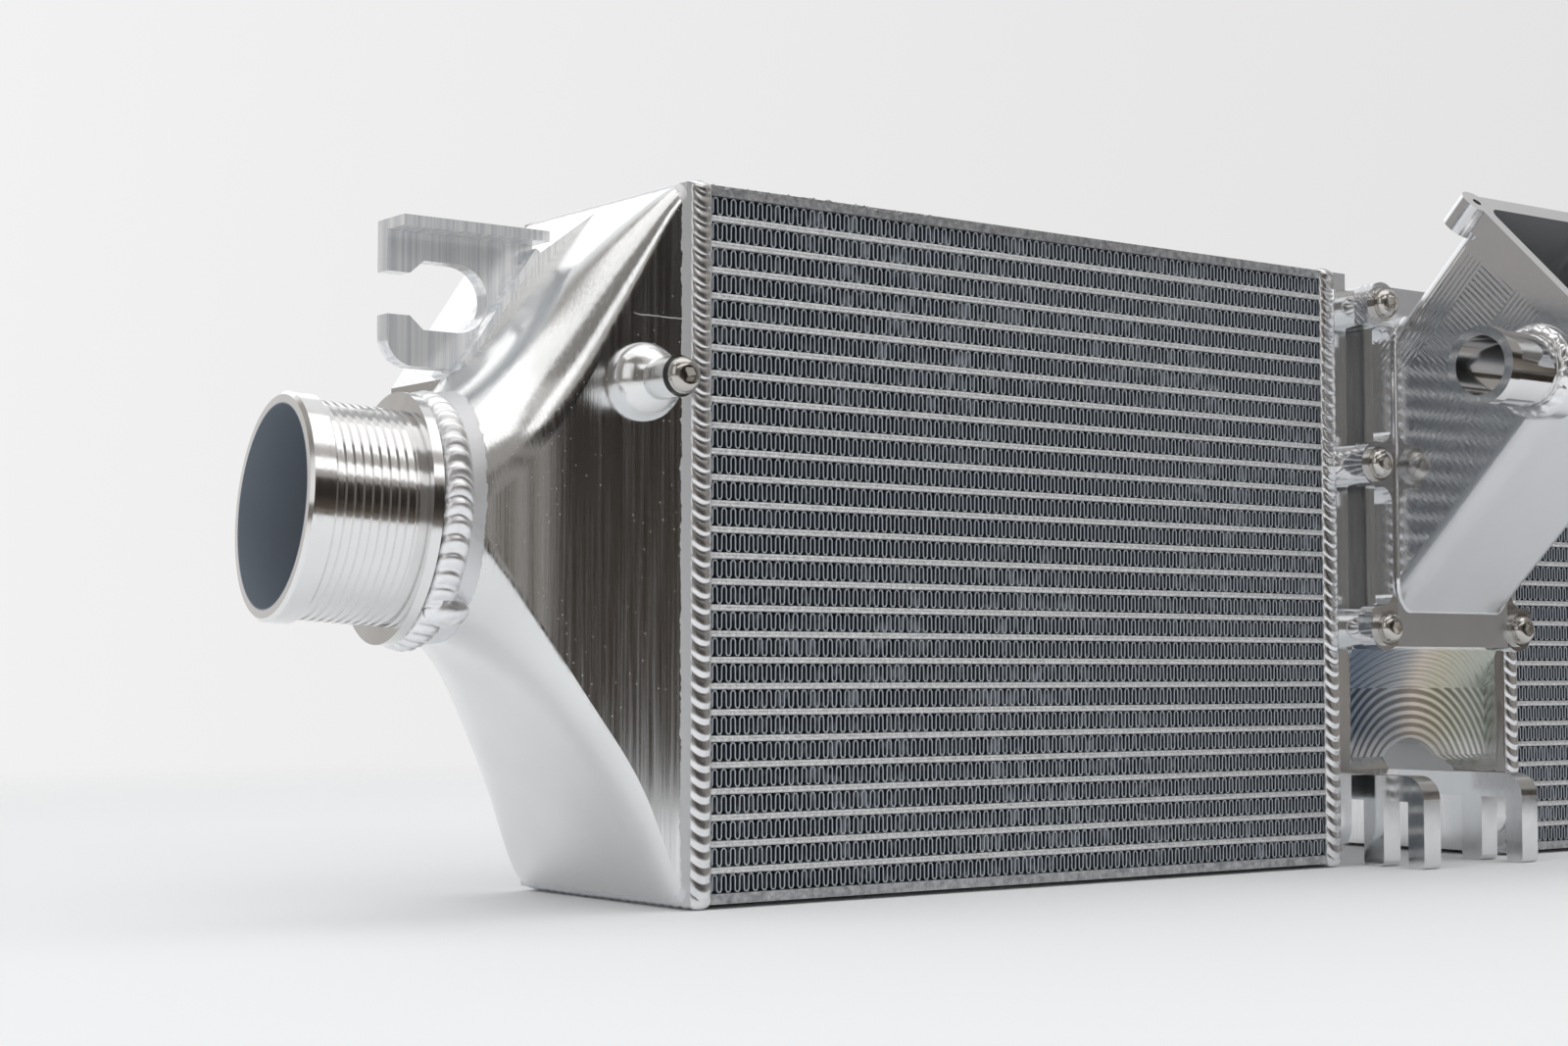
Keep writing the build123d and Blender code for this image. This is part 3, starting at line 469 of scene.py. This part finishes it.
scratch = sums(tree, "MULTIPLY", scratch, span(tree, x, *scratchSet["end"], 1.0, 0.0))
specks = fillGroup(tree, speckGroup, {"Vector": spot, **tankSet["specks"]}).outputs["Mask"]
patches = span(tree, cloudNoise(tree, spot, tankSet["patch"], detail=3.0), *tankSet["patchSpan"])
specks = sums(tree, "MAXIMUM", sums(tree, "MULTIPLY", specks, patches), scratch)
toned = blend(tree, etched, colour, tankSet["etchedTone"])
toned = blend(tree, specks, toned, tankSet["speckTone"])
tree.links.new(toned, shader.inputs["Base Color"])
marks = sums(tree, "MAXIMUM", etched, specks)
tree.links.new(mixValue(tree, marks, roughness, tankSet["markRough"]), shader.inputs["Roughness"])
bumpOn(tree, shader, sums(tree, "MULTIPLY", tear, etched), *tankSet["etchedBump"], normal)
finishes["tank"] = material

# folded fin strip: a painted highlight on the pale cut edge in front, blue-grey walls with painted shade that
# darkens them inwards, and a painted glint that makes some folds brighter
stripSet = {
    "metal": 0.35,
    "rough": 0.4,
    "folds": (260, 30, 130),
    "glintFoldSpan": (0.48, 0.70),
    "broad": 14.0,
    "glintPatchSpan": (0.35, 0.6),
    # the dark wall tone, and the lighter tone of the painted glint on some folds
    "tones": ((0.08, 0.095, 0.12), (0.66, 0.71, 0.78)),
    "front": 0.007857,
    "rear": 0.097457,
    "paintedShadeSpan": (0.0006, 0.0034),
    "paintedShadeTone": (0.02, 0.022, 0.026),
    "edgeHighlightSpan": (0.0002, 0.0004),
    "edgeHighlightTone": (0.56, 0.60, 0.64),
}
material, tree, shader, spot = startFinish("finStrip")
shader.inputs["Metallic"].default_value = stripSet["metal"]
shader.inputs["Roughness"].default_value = stripSet["rough"]
folds = putNode(tree, "ShaderNodeMapping", inputs={"Vector": spot, "Scale": stripSet["folds"]})
bright = cloudNoise(tree, folds.outputs[0], 1.0)
broad = cloudNoise(tree, spot, stripSet["broad"], detail=1.0)
# painted glint: lighter patches of folds where light would reflect
lit = sums(tree, "MULTIPLY", span(tree, bright, *stripSet["glintFoldSpan"]),
           span(tree, broad, *stripSet["glintPatchSpan"]))
y = splitVector(tree, spot)[1]
depth = sums(tree, "MINIMUM", sums(tree, "SUBTRACT", y, stripSet["front"]),
             sums(tree, "SUBTRACT", stripSet["rear"], y))
colour = blend(tree, lit, *stripSet["tones"])
# painted shade: the walls darken with depth behind the front edge
colour = blend(tree, span(tree, depth, *stripSet["paintedShadeSpan"]), colour, stripSet["paintedShadeTone"])
# painted highlight: the thin cut edge in front is made pale
colour = blend(tree, span(tree, depth, *stripSet["edgeHighlightSpan"], 1.0, 0.0), colour, stripSet["edgeHighlightTone"])
tree.links.new(colour, shader.inputs["Base Color"])
bumpOn(tree, shader, bright, 0.2)
finishes["fin"] = material

# milled faces of the manifold: scallops that follow the notch, straight passes above them; on the milled
# apron a painted reflection, darker at the left with warm tints, and a painted highlight along its lower part
millSet = {
    "centre": (-0.0025, 0.0245),  # of the notch, across and up
    "straight": -0.004,
    "join": 0.012,
    "lean": 0.2,
    "bands": {"Pitch": 0.0031, "Wobble": 0.0006},
    "lowSpan": (0.036, 0.038),
    "highSpan": (0.077, 0.079),
    "sideSpan": (0.0405, 0.0415),
    "frontSpan": (0.0130, 0.0140),
    "paintedReflectionSpan": (-0.042, 0.042),
    "paintedReflection": ((0.0, (0.15, 0.19, 0.25, 1)), (1.0, (0.52, 0.55, 0.50, 1)), (0.3, (0.40, 0.42, 0.45, 1)),
              (0.5, (0.74, 0.66, 0.58, 1)), (0.7, (0.64, 0.61, 0.48, 1))),
    "bottomHighlightSpan": (0.036, 0.050),
    "bottomHighlight": 0.75,
    "bottomHighlightTone": (0.90, 0.90, 0.91),
    "rough": 0.33,
    "bump": (0.8, 0.00022),
}
material, tree, shader, spot, colour, roughness, normal = metalFinish(**metalSet["manifold"])
x, y, z = splitVector(tree, spot)
centred = sums(tree, "SUBTRACT", x, millSet["centre"][0])
raised = sums(tree, "SUBTRACT", z, millSet["centre"][1])
squares = [sums(tree, "MULTIPLY", value, value) for value in (centred, raised)]
radius = putNode(tree, "ShaderNodeMath", operation="SQRT", inputs={0: sums(tree, "ADD", *squares)}).outputs[0]
path = putNode(tree, "ShaderNodeMath", operation="SMOOTH_MAX", inputs={
    0: radius, 1: sums(tree, "ADD", raised, millSet["straight"]), 2: millSet["join"]}).outputs[0]
path = putNode(tree, "ShaderNodeCombineXYZ", inputs={
    "X": path, "Y": sums(tree, "MULTIPLY", x, millSet["lean"])}).outputs[0]
passes = fillGroup(tree, bandGroup, {"Vector": path, **millSet["bands"]}).outputs[0]
inside = span(tree, z, *millSet["lowSpan"])
for value, side in ((z, "highSpan"), (y, "frontSpan"), (absolute(tree, x), "sideSpan")):
    inside = sums(tree, "MULTIPLY", inside, span(tree, value, *millSet[side], 1.0, 0.0))
# painted reflection: tones that change across the apron, darker at the left and warm in the middle
paintedReflection = putNode(tree, "ShaderNodeValToRGB", inputs={0: span(tree, x, *millSet["paintedReflectionSpan"])})
stops = paintedReflection.color_ramp.elements
for stop, (position, tone) in zip(stops, millSet["paintedReflection"][:2]):
    stop.position, stop.color = position, tone
for position, tone in millSet["paintedReflection"][2:]:
    stops.new(position).color = tone
# painted highlight: the lower part of the apron is made paler
bottomHighlighted = blend(tree, span(tree, z, *millSet["bottomHighlightSpan"], millSet["bottomHighlight"], 0.0), paintedReflection.outputs[0],
               millSet["bottomHighlightTone"])
tree.links.new(blend(tree, inside, colour, bottomHighlighted), shader.inputs["Base Color"])
tree.links.new(mixValue(tree, inside, roughness, millSet["rough"]), shader.inputs["Roughness"])
bumpOn(tree, shader, sums(tree, "MULTIPLY", passes, inside), *millSet["bump"], normal)
finishes["manifold"] = material

# milled duct: two sets of slanting cutter marks on the side walls, satin on the sloping faces
ductSet = {
    "slant": 0.7071,
    "bands": {"Pitch": 0.0019, "Wobble": 0.0005},
    "swap": 190.0,  # how often one slant gives way to the other
    "swapSpan": (-0.2, 0.2),
    "sideSpan": (0.0309, 0.0313),
    "markSpan": (0.172, 0.205),
    "faintest": 0.05,
    "lipSpan": (0.255, 0.262),
    "satin": 0.3,
    "bump": (0.5, 0.00012),
}
material, tree, shader, spot, colour, roughness, normal = metalFinish(**metalSet["duct"])
x, y, z = splitVector(tree, spot)
slants = [sums(tree, "MULTIPLY", sums(tree, kind, y, z), ductSet["slant"]) for kind in ("ADD", "SUBTRACT")]
bands = []
for value in slants:
    vector = putNode(tree, "ShaderNodeCombineXYZ", inputs={"X": value, "Y": z}).outputs[0]
    bands.append(fillGroup(tree, bandGroup, {"Vector": vector, **ductSet["bands"]}).outputs[0])
pick = putNode(tree, "ShaderNodeMath", operation="SINE", inputs={
    0: sums(tree, "MULTIPLY", slants[0], ductSet["swap"])}).outputs[0]
weave = mixValue(tree, span(tree, pick, *ductSet["swapSpan"]), *bands)
onSide = span(tree, absolute(tree, x), *ductSet["sideSpan"])
upper = span(tree, z, *ductSet["markSpan"], ductSet["faintest"], 1.0)
notLip = span(tree, sums(tree, "SUBTRACT", z, y), *ductSet["lipSpan"], 1.0, 0.0)
marked = sums(tree, "MULTIPLY", sums(tree, "MULTIPLY", onSide, upper), notLip)
tree.links.new(mixValue(tree, onSide, ductSet["satin"], roughness), shader.inputs["Roughness"])
bumpOn(tree, shader, sums(tree, "MULTIPLY", weave, marked), *ductSet["bump"], normal)
finishes["duct"] = material

rubberSet = {"grain": 900.0, "rough": (0.45, 0.7), "tones": ((0.012, 0.012, 0.013), (0.03, 0.03, 0.032))}
material, tree, shader, spot = startFinish("blackRubber")
grain = cloudNoise(tree, spot, rubberSet["grain"])
tree.links.new(span(tree, grain, 0.3, 0.7, *rubberSet["rough"], kind="LINEAR"), shader.inputs["Roughness"])
tree.links.new(blend(tree, grain, *rubberSet["tones"]), shader.inputs["Base Color"])
finishes["rubber"] = material

pairWears = {
    "core_tubes": "tube", "core_fins": "fin",
    "outer_header": "header", "inner_header": "header",
    "bottom_plate": "plate", "top_plate": "plate",
    "tank": "tank", "inlet_neck": "neck", "bracket": "bracket", "mounting_fork": "fork",
    "neck_weld": "weld", "tank_weld": "weld", "manifold_weld": "weld",
}
wears = {
    "centre_manifold": "manifold", "outlet_duct": "duct",
    "outlet_seal": "rubber", "plug_seal": "rubber",
    "bolt_washers": "screw", "outlet_bolts": "screw", "sensor_plug": "screw",
    "valve_stub": "stub", "stub_weld": "weld",
}
for name, finish in pairWears.items():
    wears["left_" + name] = wears["right_" + name] = finish
for name, finish in wears.items():
    for holder in nodes[name].material_slots:
        holder.material = finishes[finish]
print("finishes ready")


# ---------- modelling helpers ----------
def clearSelection():
    if bpy.context.object and bpy.context.object.mode != "OBJECT":
        bpy.ops.object.mode_set(mode="OBJECT")
    bpy.ops.object.select_all(action="DESELECT")


def addModifier(piece, name, kind, **settings):
    modifier = piece.modifiers.new(name, kind)
    for key, value in settings.items():
        setattr(modifier, key, value)
    return modifier


def applyModifiers(piece):
    clearSelection()
    piece.select_set(True)
    bpy.context.view_layer.objects.active = piece
    for modifier in list(piece.modifiers):
        bpy.ops.object.modifier_apply(modifier=modifier.name)


def settle(piece):
    clearSelection()
    piece.select_set(True)
    bpy.context.view_layer.objects.active = piece
    bpy.ops.object.transform_apply(location=True, rotation=True, scale=True)


def dress(piece, finish, slot, *replaced):
    piece.data.materials.clear()
    piece.data.materials.append(finishes[finish])
    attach(piece, "root")
    if replaced:
        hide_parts(*replaced)
    print("made", piece.name, len(piece.data.polygons), "faces")


# ---------- cooling fins ----------
finSet = {
    "folds": 82,  # folds of one row
    "rows": 27,
    "pitch": 7.7 * mm,
    "low": 4.5 * mm,  # underside of the lowest row
    "high": 5.7 * mm,
    "gap": 0.05 * mm,
    "run": 271 * mm,
    "front": 7.857 * mm,
    "depth": 89.6 * mm,
    "strip": 0.36 * mm,
    "roundSteps": 3,
    "slice": 5.0 * mm,  # depth of the front slice
}


def makeFins(name, startX, startY, depth, folds, replaced):
    clearSelection()
    width = finSet["run"] / finSet["folds"]
    radius = width / 4
    low = finSet["low"] + finSet["gap"] + finSet["strip"] / 2
    high = low + finSet["high"] - 2 * finSet["gap"] - finSet["strip"]
    bpy.ops.mesh.primitive_plane_add(size=1)
    piece = bpy.context.object
    piece.name = name
    bpy.ops.object.mode_set(mode="EDIT")
    bpy.ops.mesh.select_mode(type="VERT")
    bpy.ops.mesh.select_all(action="DESELECT")
    bpy.ops.object.mode_set(mode="OBJECT")
    for vertex in piece.data.vertices:
        vertex.select = vertex.co.x > 0
    bpy.ops.object.mode_set(mode="EDIT")
    bpy.ops.mesh.delete(type="VERT")
    bpy.ops.mesh.select_all(action="SELECT")
    bpy.ops.transform.resize(value=(1, depth, 1), center_override=(0, 0, 0))
    bpy.ops.transform.translate(value=(0.5 + startX, startY + depth / 2, low + radius))
    steps = [(0, high - low - 2 * radius)]
    for side in (1, -1):
        for k in range(finSet["roundSteps"]):
            a = pi * k / finSet["roundSteps"]
            b = pi * (k + 1) / finSet["roundSteps"]
            steps.append((radius * (cos(a) - cos(b)), side * radius * (sin(b) - sin(a))))
        if side == 1:
            steps.append((0, -(high - low - 2 * radius)))
    for dx, dz in steps:
        bpy.ops.mesh.extrude_region_move(TRANSFORM_OT_translate={"value": (dx, 0, dz)})
    bpy.ops.object.mode_set(mode="OBJECT")
    addModifier(piece, "along", "ARRAY", count=folds, use_relative_offset=False,
                use_constant_offset=True, constant_offset_displace=(width, 0, 0),
                use_merge_vertices=True, merge_threshold=0.02 * mm)
    addModifier(piece, "thick", "SOLIDIFY", thickness=finSet["strip"], offset=0)
    addModifier(piece, "upwards", "ARRAY", count=finSet["rows"], use_relative_offset=False,
                use_constant_offset=True, constant_offset_displace=(0, 0, finSet["pitch"]))
    applyModifiers(piece)
    bpy.ops.object.shade_smooth_by_angle(angle=radians(50))
    settle(piece)
    dress(piece, "fin", "fin_strip", replaced)


# the rear slice stands half a fold aside
aside = finSet["run"] / finSet["folds"] / 4
behind = finSet["front"] + finSet["slice"]
for sideName, startX in (("left", -324 * mm), ("right", 53 * mm)):
    makeFins(sideName + "FrontFins", startX, finSet["front"], finSet["slice"], finSet["folds"],
             sideName + "_core_fins")
    makeFins(sideName + "DeepFins", startX + aside, behind, finSet["depth"] - finSet["slice"],
             finSet["folds"] - 1, sideName + "_core_fins")

# ---------- weld beads ----------
beadSet = {
    "core": {"pitch": 4.6 * mm, "width": 8.4 * mm, "height": 1.9 * mm, "bow": 2.1 * mm, "lean": 0.7 * mm},
    "neck": {"pitch": 4.6 * mm, "width": 10.0 * mm, "height": 4.2 * mm, "bow": 2.6 * mm, "lean": 0.4 * mm},
    "stub": {"pitch": 4.4 * mm, "width": 8.5 * mm, "height": 3.4 * mm, "bow": 1.8 * mm, "lean": 0.0},
    "sunk": 0.4 * mm,  # the bead's foot lies this far inside the faces it joins
    "swell": (0.70, 0.90, 1.0, 0.985, 0.93, 0.83, 0.70),  # height along one ripple
    "across": 8,
    "wall": 0.6 * mm,
    "uneven": 0.25 * mm,
}
lumpy = bpy.data.textures.new("beadLumps", "CLOUDS")
lumpy.noise_scale = 0.004


def selectVertices(piece, chosen):
    bpy.ops.mesh.select_all(action="DESELECT")
    bpy.ops.object.mode_set(mode="OBJECT")
    for vertex in piece.data.vertices:
        vertex.select = chosen(vertex.co)
    bpy.ops.object.mode_set(mode="EDIT")


def makeBead(name, kind, path, stand, finish, replaced):
    # one ripple is shaped from a grid, repeated along the path and bent round it
    bead = beadSet[kind]
    length = sum((b - a).length for a, b in zip(path, path[1:] + path[:1]))
    count = round(length / bead["pitch"])
    pitch = length / count
    columns = len(beadSet["swell"]) - 1
    clearSelection()
    bpy.ops.mesh.primitive_grid_add(x_subdivisions=columns, y_subdivisions=beadSet["across"], size=1)
    piece = bpy.context.object
    piece.name = name
    bpy.ops.object.mode_set(mode="EDIT")
    bpy.ops.mesh.select_mode(type="VERT")
    bpy.ops.mesh.select_all(action="SELECT")
    bpy.ops.transform.translate(value=(0.5, 0, 0))
    bpy.ops.transform.resize(value=(pitch, bead["width"], 1), center_override=(0, 0, 0))
    for k, swell in enumerate(beadSet["swell"]):
        place = pitch * k / columns
        selectVertices(piece, lambda co: abs(co.x - place) < pitch * 0.02)
        bpy.ops.transform.translate(value=(0, 0, bead["height"] * swell))
    for k in range(beadSet["across"] + 1):
        share = 2 * k / beadSet["across"] - 1
        selectVertices(piece, lambda co: abs(co.y - share * bead["width"] / 2) < bead["width"] * 0.02)
        arch = max(0.0, 1 - abs(share) ** 2.2) ** 0.6
        bpy.ops.transform.resize(value=(1, 1, max(arch, 0.001)), center_override=(0, 0, 0))
        bpy.ops.transform.translate(value=(bead["lean"] * share - bead["bow"] * (1 - share ** 2), 0, 0))
    bpy.ops.mesh.select_all(action="SELECT")
    bpy.ops.transform.translate(value=(0, 0, -beadSet["sunk"]))
    bpy.ops.object.mode_set(mode="OBJECT")
    piece.data.transform(Matrix.Rotation(-pi / 2, 4, "X"))
    rail = bpy.data.curves.new(name + "Rail", "CURVE")
    rail.dimensions = "2D"
    line = rail.splines.new("POLY")
    line.points.add(len(path) - 1)
    for point, place in zip(line.points, path):
        point.co = (place.x, place.y, 0, 1)
    line.use_cyclic_u = True
    railObject = bpy.data.objects.new(name + "Rail", rail)
    scene.collection.objects.link(railObject)
    addModifier(piece, "ripples", "ARRAY", count=count, use_relative_offset=False,
                use_constant_offset=True, constant_offset_displace=(pitch, 0, 0),
                use_merge_vertices=True, merge_threshold=0.03 * mm)
    addModifier(piece, "round", "CURVE", object=railObject, deform_axis="POS_X")
    addModifier(piece, "seam", "WELD", merge_threshold=0.05 * mm)
    addModifier(piece, "uneven", "DISPLACE", texture=lumpy, strength=beadSet["uneven"],
                mid_level=0.5, texture_coords="LOCAL")
    addModifier(piece, "wall", "SOLIDIFY", thickness=beadSet["wall"], offset=-1)
    applyModifiers(piece)
    bpy.data.objects.remove(railObject)
    piece.data.transform(stand)
    if stand.determinant() < 0:
        piece.data.flip_normals()
    bpy.ops.object.shade_smooth()
    dress(piece, finish, "weld_bead", *replaced)


def roundedPath(halfWide, halfHigh, radius, steps=5):
    corners = ((1, 1, 0), (-1, 1, 90), (-1, -1, 180), (1, -1, 270))
    path = []
    for sideX, sideY, start in corners:
        for k in range(steps + 1):
            turn = radians(start + 90 * k / steps)
            path.append(Vector((sideX * (halfWide - radius) + radius * cos(turn),
                                sideY * (halfHigh - radius) + radius * sin(turn))))
    return path


def circlePath(radius, steps=72):
    turns = [2 * pi * k / steps for k in range(steps)]
    return [Vector((radius * cos(turn), radius * sin(turn))) for turn in turns]


coreSet = {
    "middleY": 52.657 * mm,
    "middleZ": 107.45 * mm,
    "halfDeep": 46 * mm,
    "halfHigh": 105.95 * mm,
    "corner": 1.6 * mm,
    "welds": (("tank", 325.8 * mm), ("manifold", 50.8 * mm)),  # from the middle of the part
}
frontView = Matrix(((0, 0, 1, 0), (1, 0, 0, coreSet["middleY"]), (0, 1, 0, coreSet["middleZ"]), (0, 0, 0, 1)))
for sideName, sign in (("left", -1), ("right", 1)):
    for beadName, place in coreSet["welds"]:
        stand = frontView.copy()
        stand[0][3] = sign * place
        makeBead(sideName + beadName.capitalize() + "Weld", "core",
                 roundedPath(coreSet["halfDeep"], coreSet["halfHigh"], coreSet["corner"]), stand,
                 "weld", ["%s_%s_weld" % (sideName, beadName)])

neckBead = {"radius": 33.0 * mm, "ahead": 1.2 * mm}
level = Vector((0, 0, 1)).cross(neckAxis).normalized()
rise = neckAxis.cross(level)
stand = Matrix((level, rise, neckAxis)).transposed().to_4x4()
stand.translation = Vector(neckSet["base"]) + neckAxis * neckBead["ahead"]
makeBead("leftNeckWeld", "neck", circlePath(neckBead["radius"]), stand, "neckWeld", ["left_neck_weld"])
flip = Matrix.Scale(-1, 4, (1, 0, 0))
makeBead("rightNeckWeld", "neck", circlePath(neckBead["radius"]), flip @ stand, "neckWeld",
         ["right_neck_weld"])

# lump where the bead round the left neck was closed
lumpSet = {
    "angle": radians(-48),
    "out": 34.5 * mm,
    "ahead": -1.5 * mm,
    "size": (6.5 * mm, 5.0 * mm, 4.0 * mm),
    "uneven": 1.6 * mm,
}
clearSelection()
outward = level * cos(lumpSet["angle"]) + rise * sin(lumpSet["angle"])
lumpPlace = Vector(neckSet["base"]) + neckAxis * lumpSet["ahead"] + outward * lumpSet["out"]
bpy.ops.mesh.primitive_ico_sphere_add(subdivisions=4, radius=1)
piece = bpy.context.object
piece.name = "leftNeckLump"
lumpTurn = Matrix((neckAxis, outward.cross(neckAxis), outward)).transposed().to_4x4()
piece.data.transform(Matrix.Translation(lumpPlace) @ lumpTurn @ Matrix.Diagonal((*lumpSet["size"], 1)))
addModifier(piece, "uneven", "DISPLACE", texture=lumpy, strength=lumpSet["uneven"], mid_level=0.5,
            texture_coords="LOCAL")
applyModifiers(piece)
bpy.ops.object.shade_smooth()
dress(piece, "neckWeld", "weld_bead")

stubBead = {"centre": (-31.3 * mm, -68.3 * mm, 171.4 * mm), "radius": 13.0 * mm, "ahead": 0.8 * mm}
stand = Matrix(((0, 0, -1, stubBead["centre"][0] - stubBead["ahead"]), (0, 1, 0, stubBead["centre"][1]),
                (1, 0, 0, stubBead["centre"][2]), (0, 0, 0, 1)))
makeBead("stubBead", "stub", circlePath(stubBead["radius"]), stand, "weld", [])

# ---------- crumbs of braze along the left top plate's front edge ----------
crumbSet = {"start": -322.0 * mm, "end": -236.0 * mm, "wide": 3.0 * mm, "place": (8.0 * mm, 213.3 * mm),
            "columns": 180, "rows": 6, "rough": 2.4 * mm, "wall": 0.5 * mm}
crumbTexture = bpy.data.textures.new("crumbLumps", "CLOUDS")
crumbTexture.noise_scale = 0.0016
crumbTexture.noise_depth = 2
clearSelection()
bpy.ops.mesh.primitive_grid_add(x_subdivisions=crumbSet["columns"], y_subdivisions=crumbSet["rows"], size=1)
piece = bpy.context.object
piece.name = "brazeCrumbs"
bpy.ops.object.mode_set(mode="EDIT")
bpy.ops.mesh.select_all(action="SELECT")
bpy.ops.transform.resize(value=(crumbSet["end"] - crumbSet["start"], crumbSet["wide"], 1),
                         center_override=(0, 0, 0))
bpy.ops.transform.translate(value=((crumbSet["start"] + crumbSet["end"]) / 2, *crumbSet["place"]))
bpy.ops.object.mode_set(mode="OBJECT")
addModifier(piece, "crumbs", "DISPLACE", texture=crumbTexture, strength=crumbSet["rough"], mid_level=0.55,
            texture_coords="LOCAL")
addModifier(piece, "wall", "SOLIDIFY", thickness=crumbSet["wall"], offset=-1)
applyModifiers(piece)
dress(piece, "header", "brazed_aluminium")
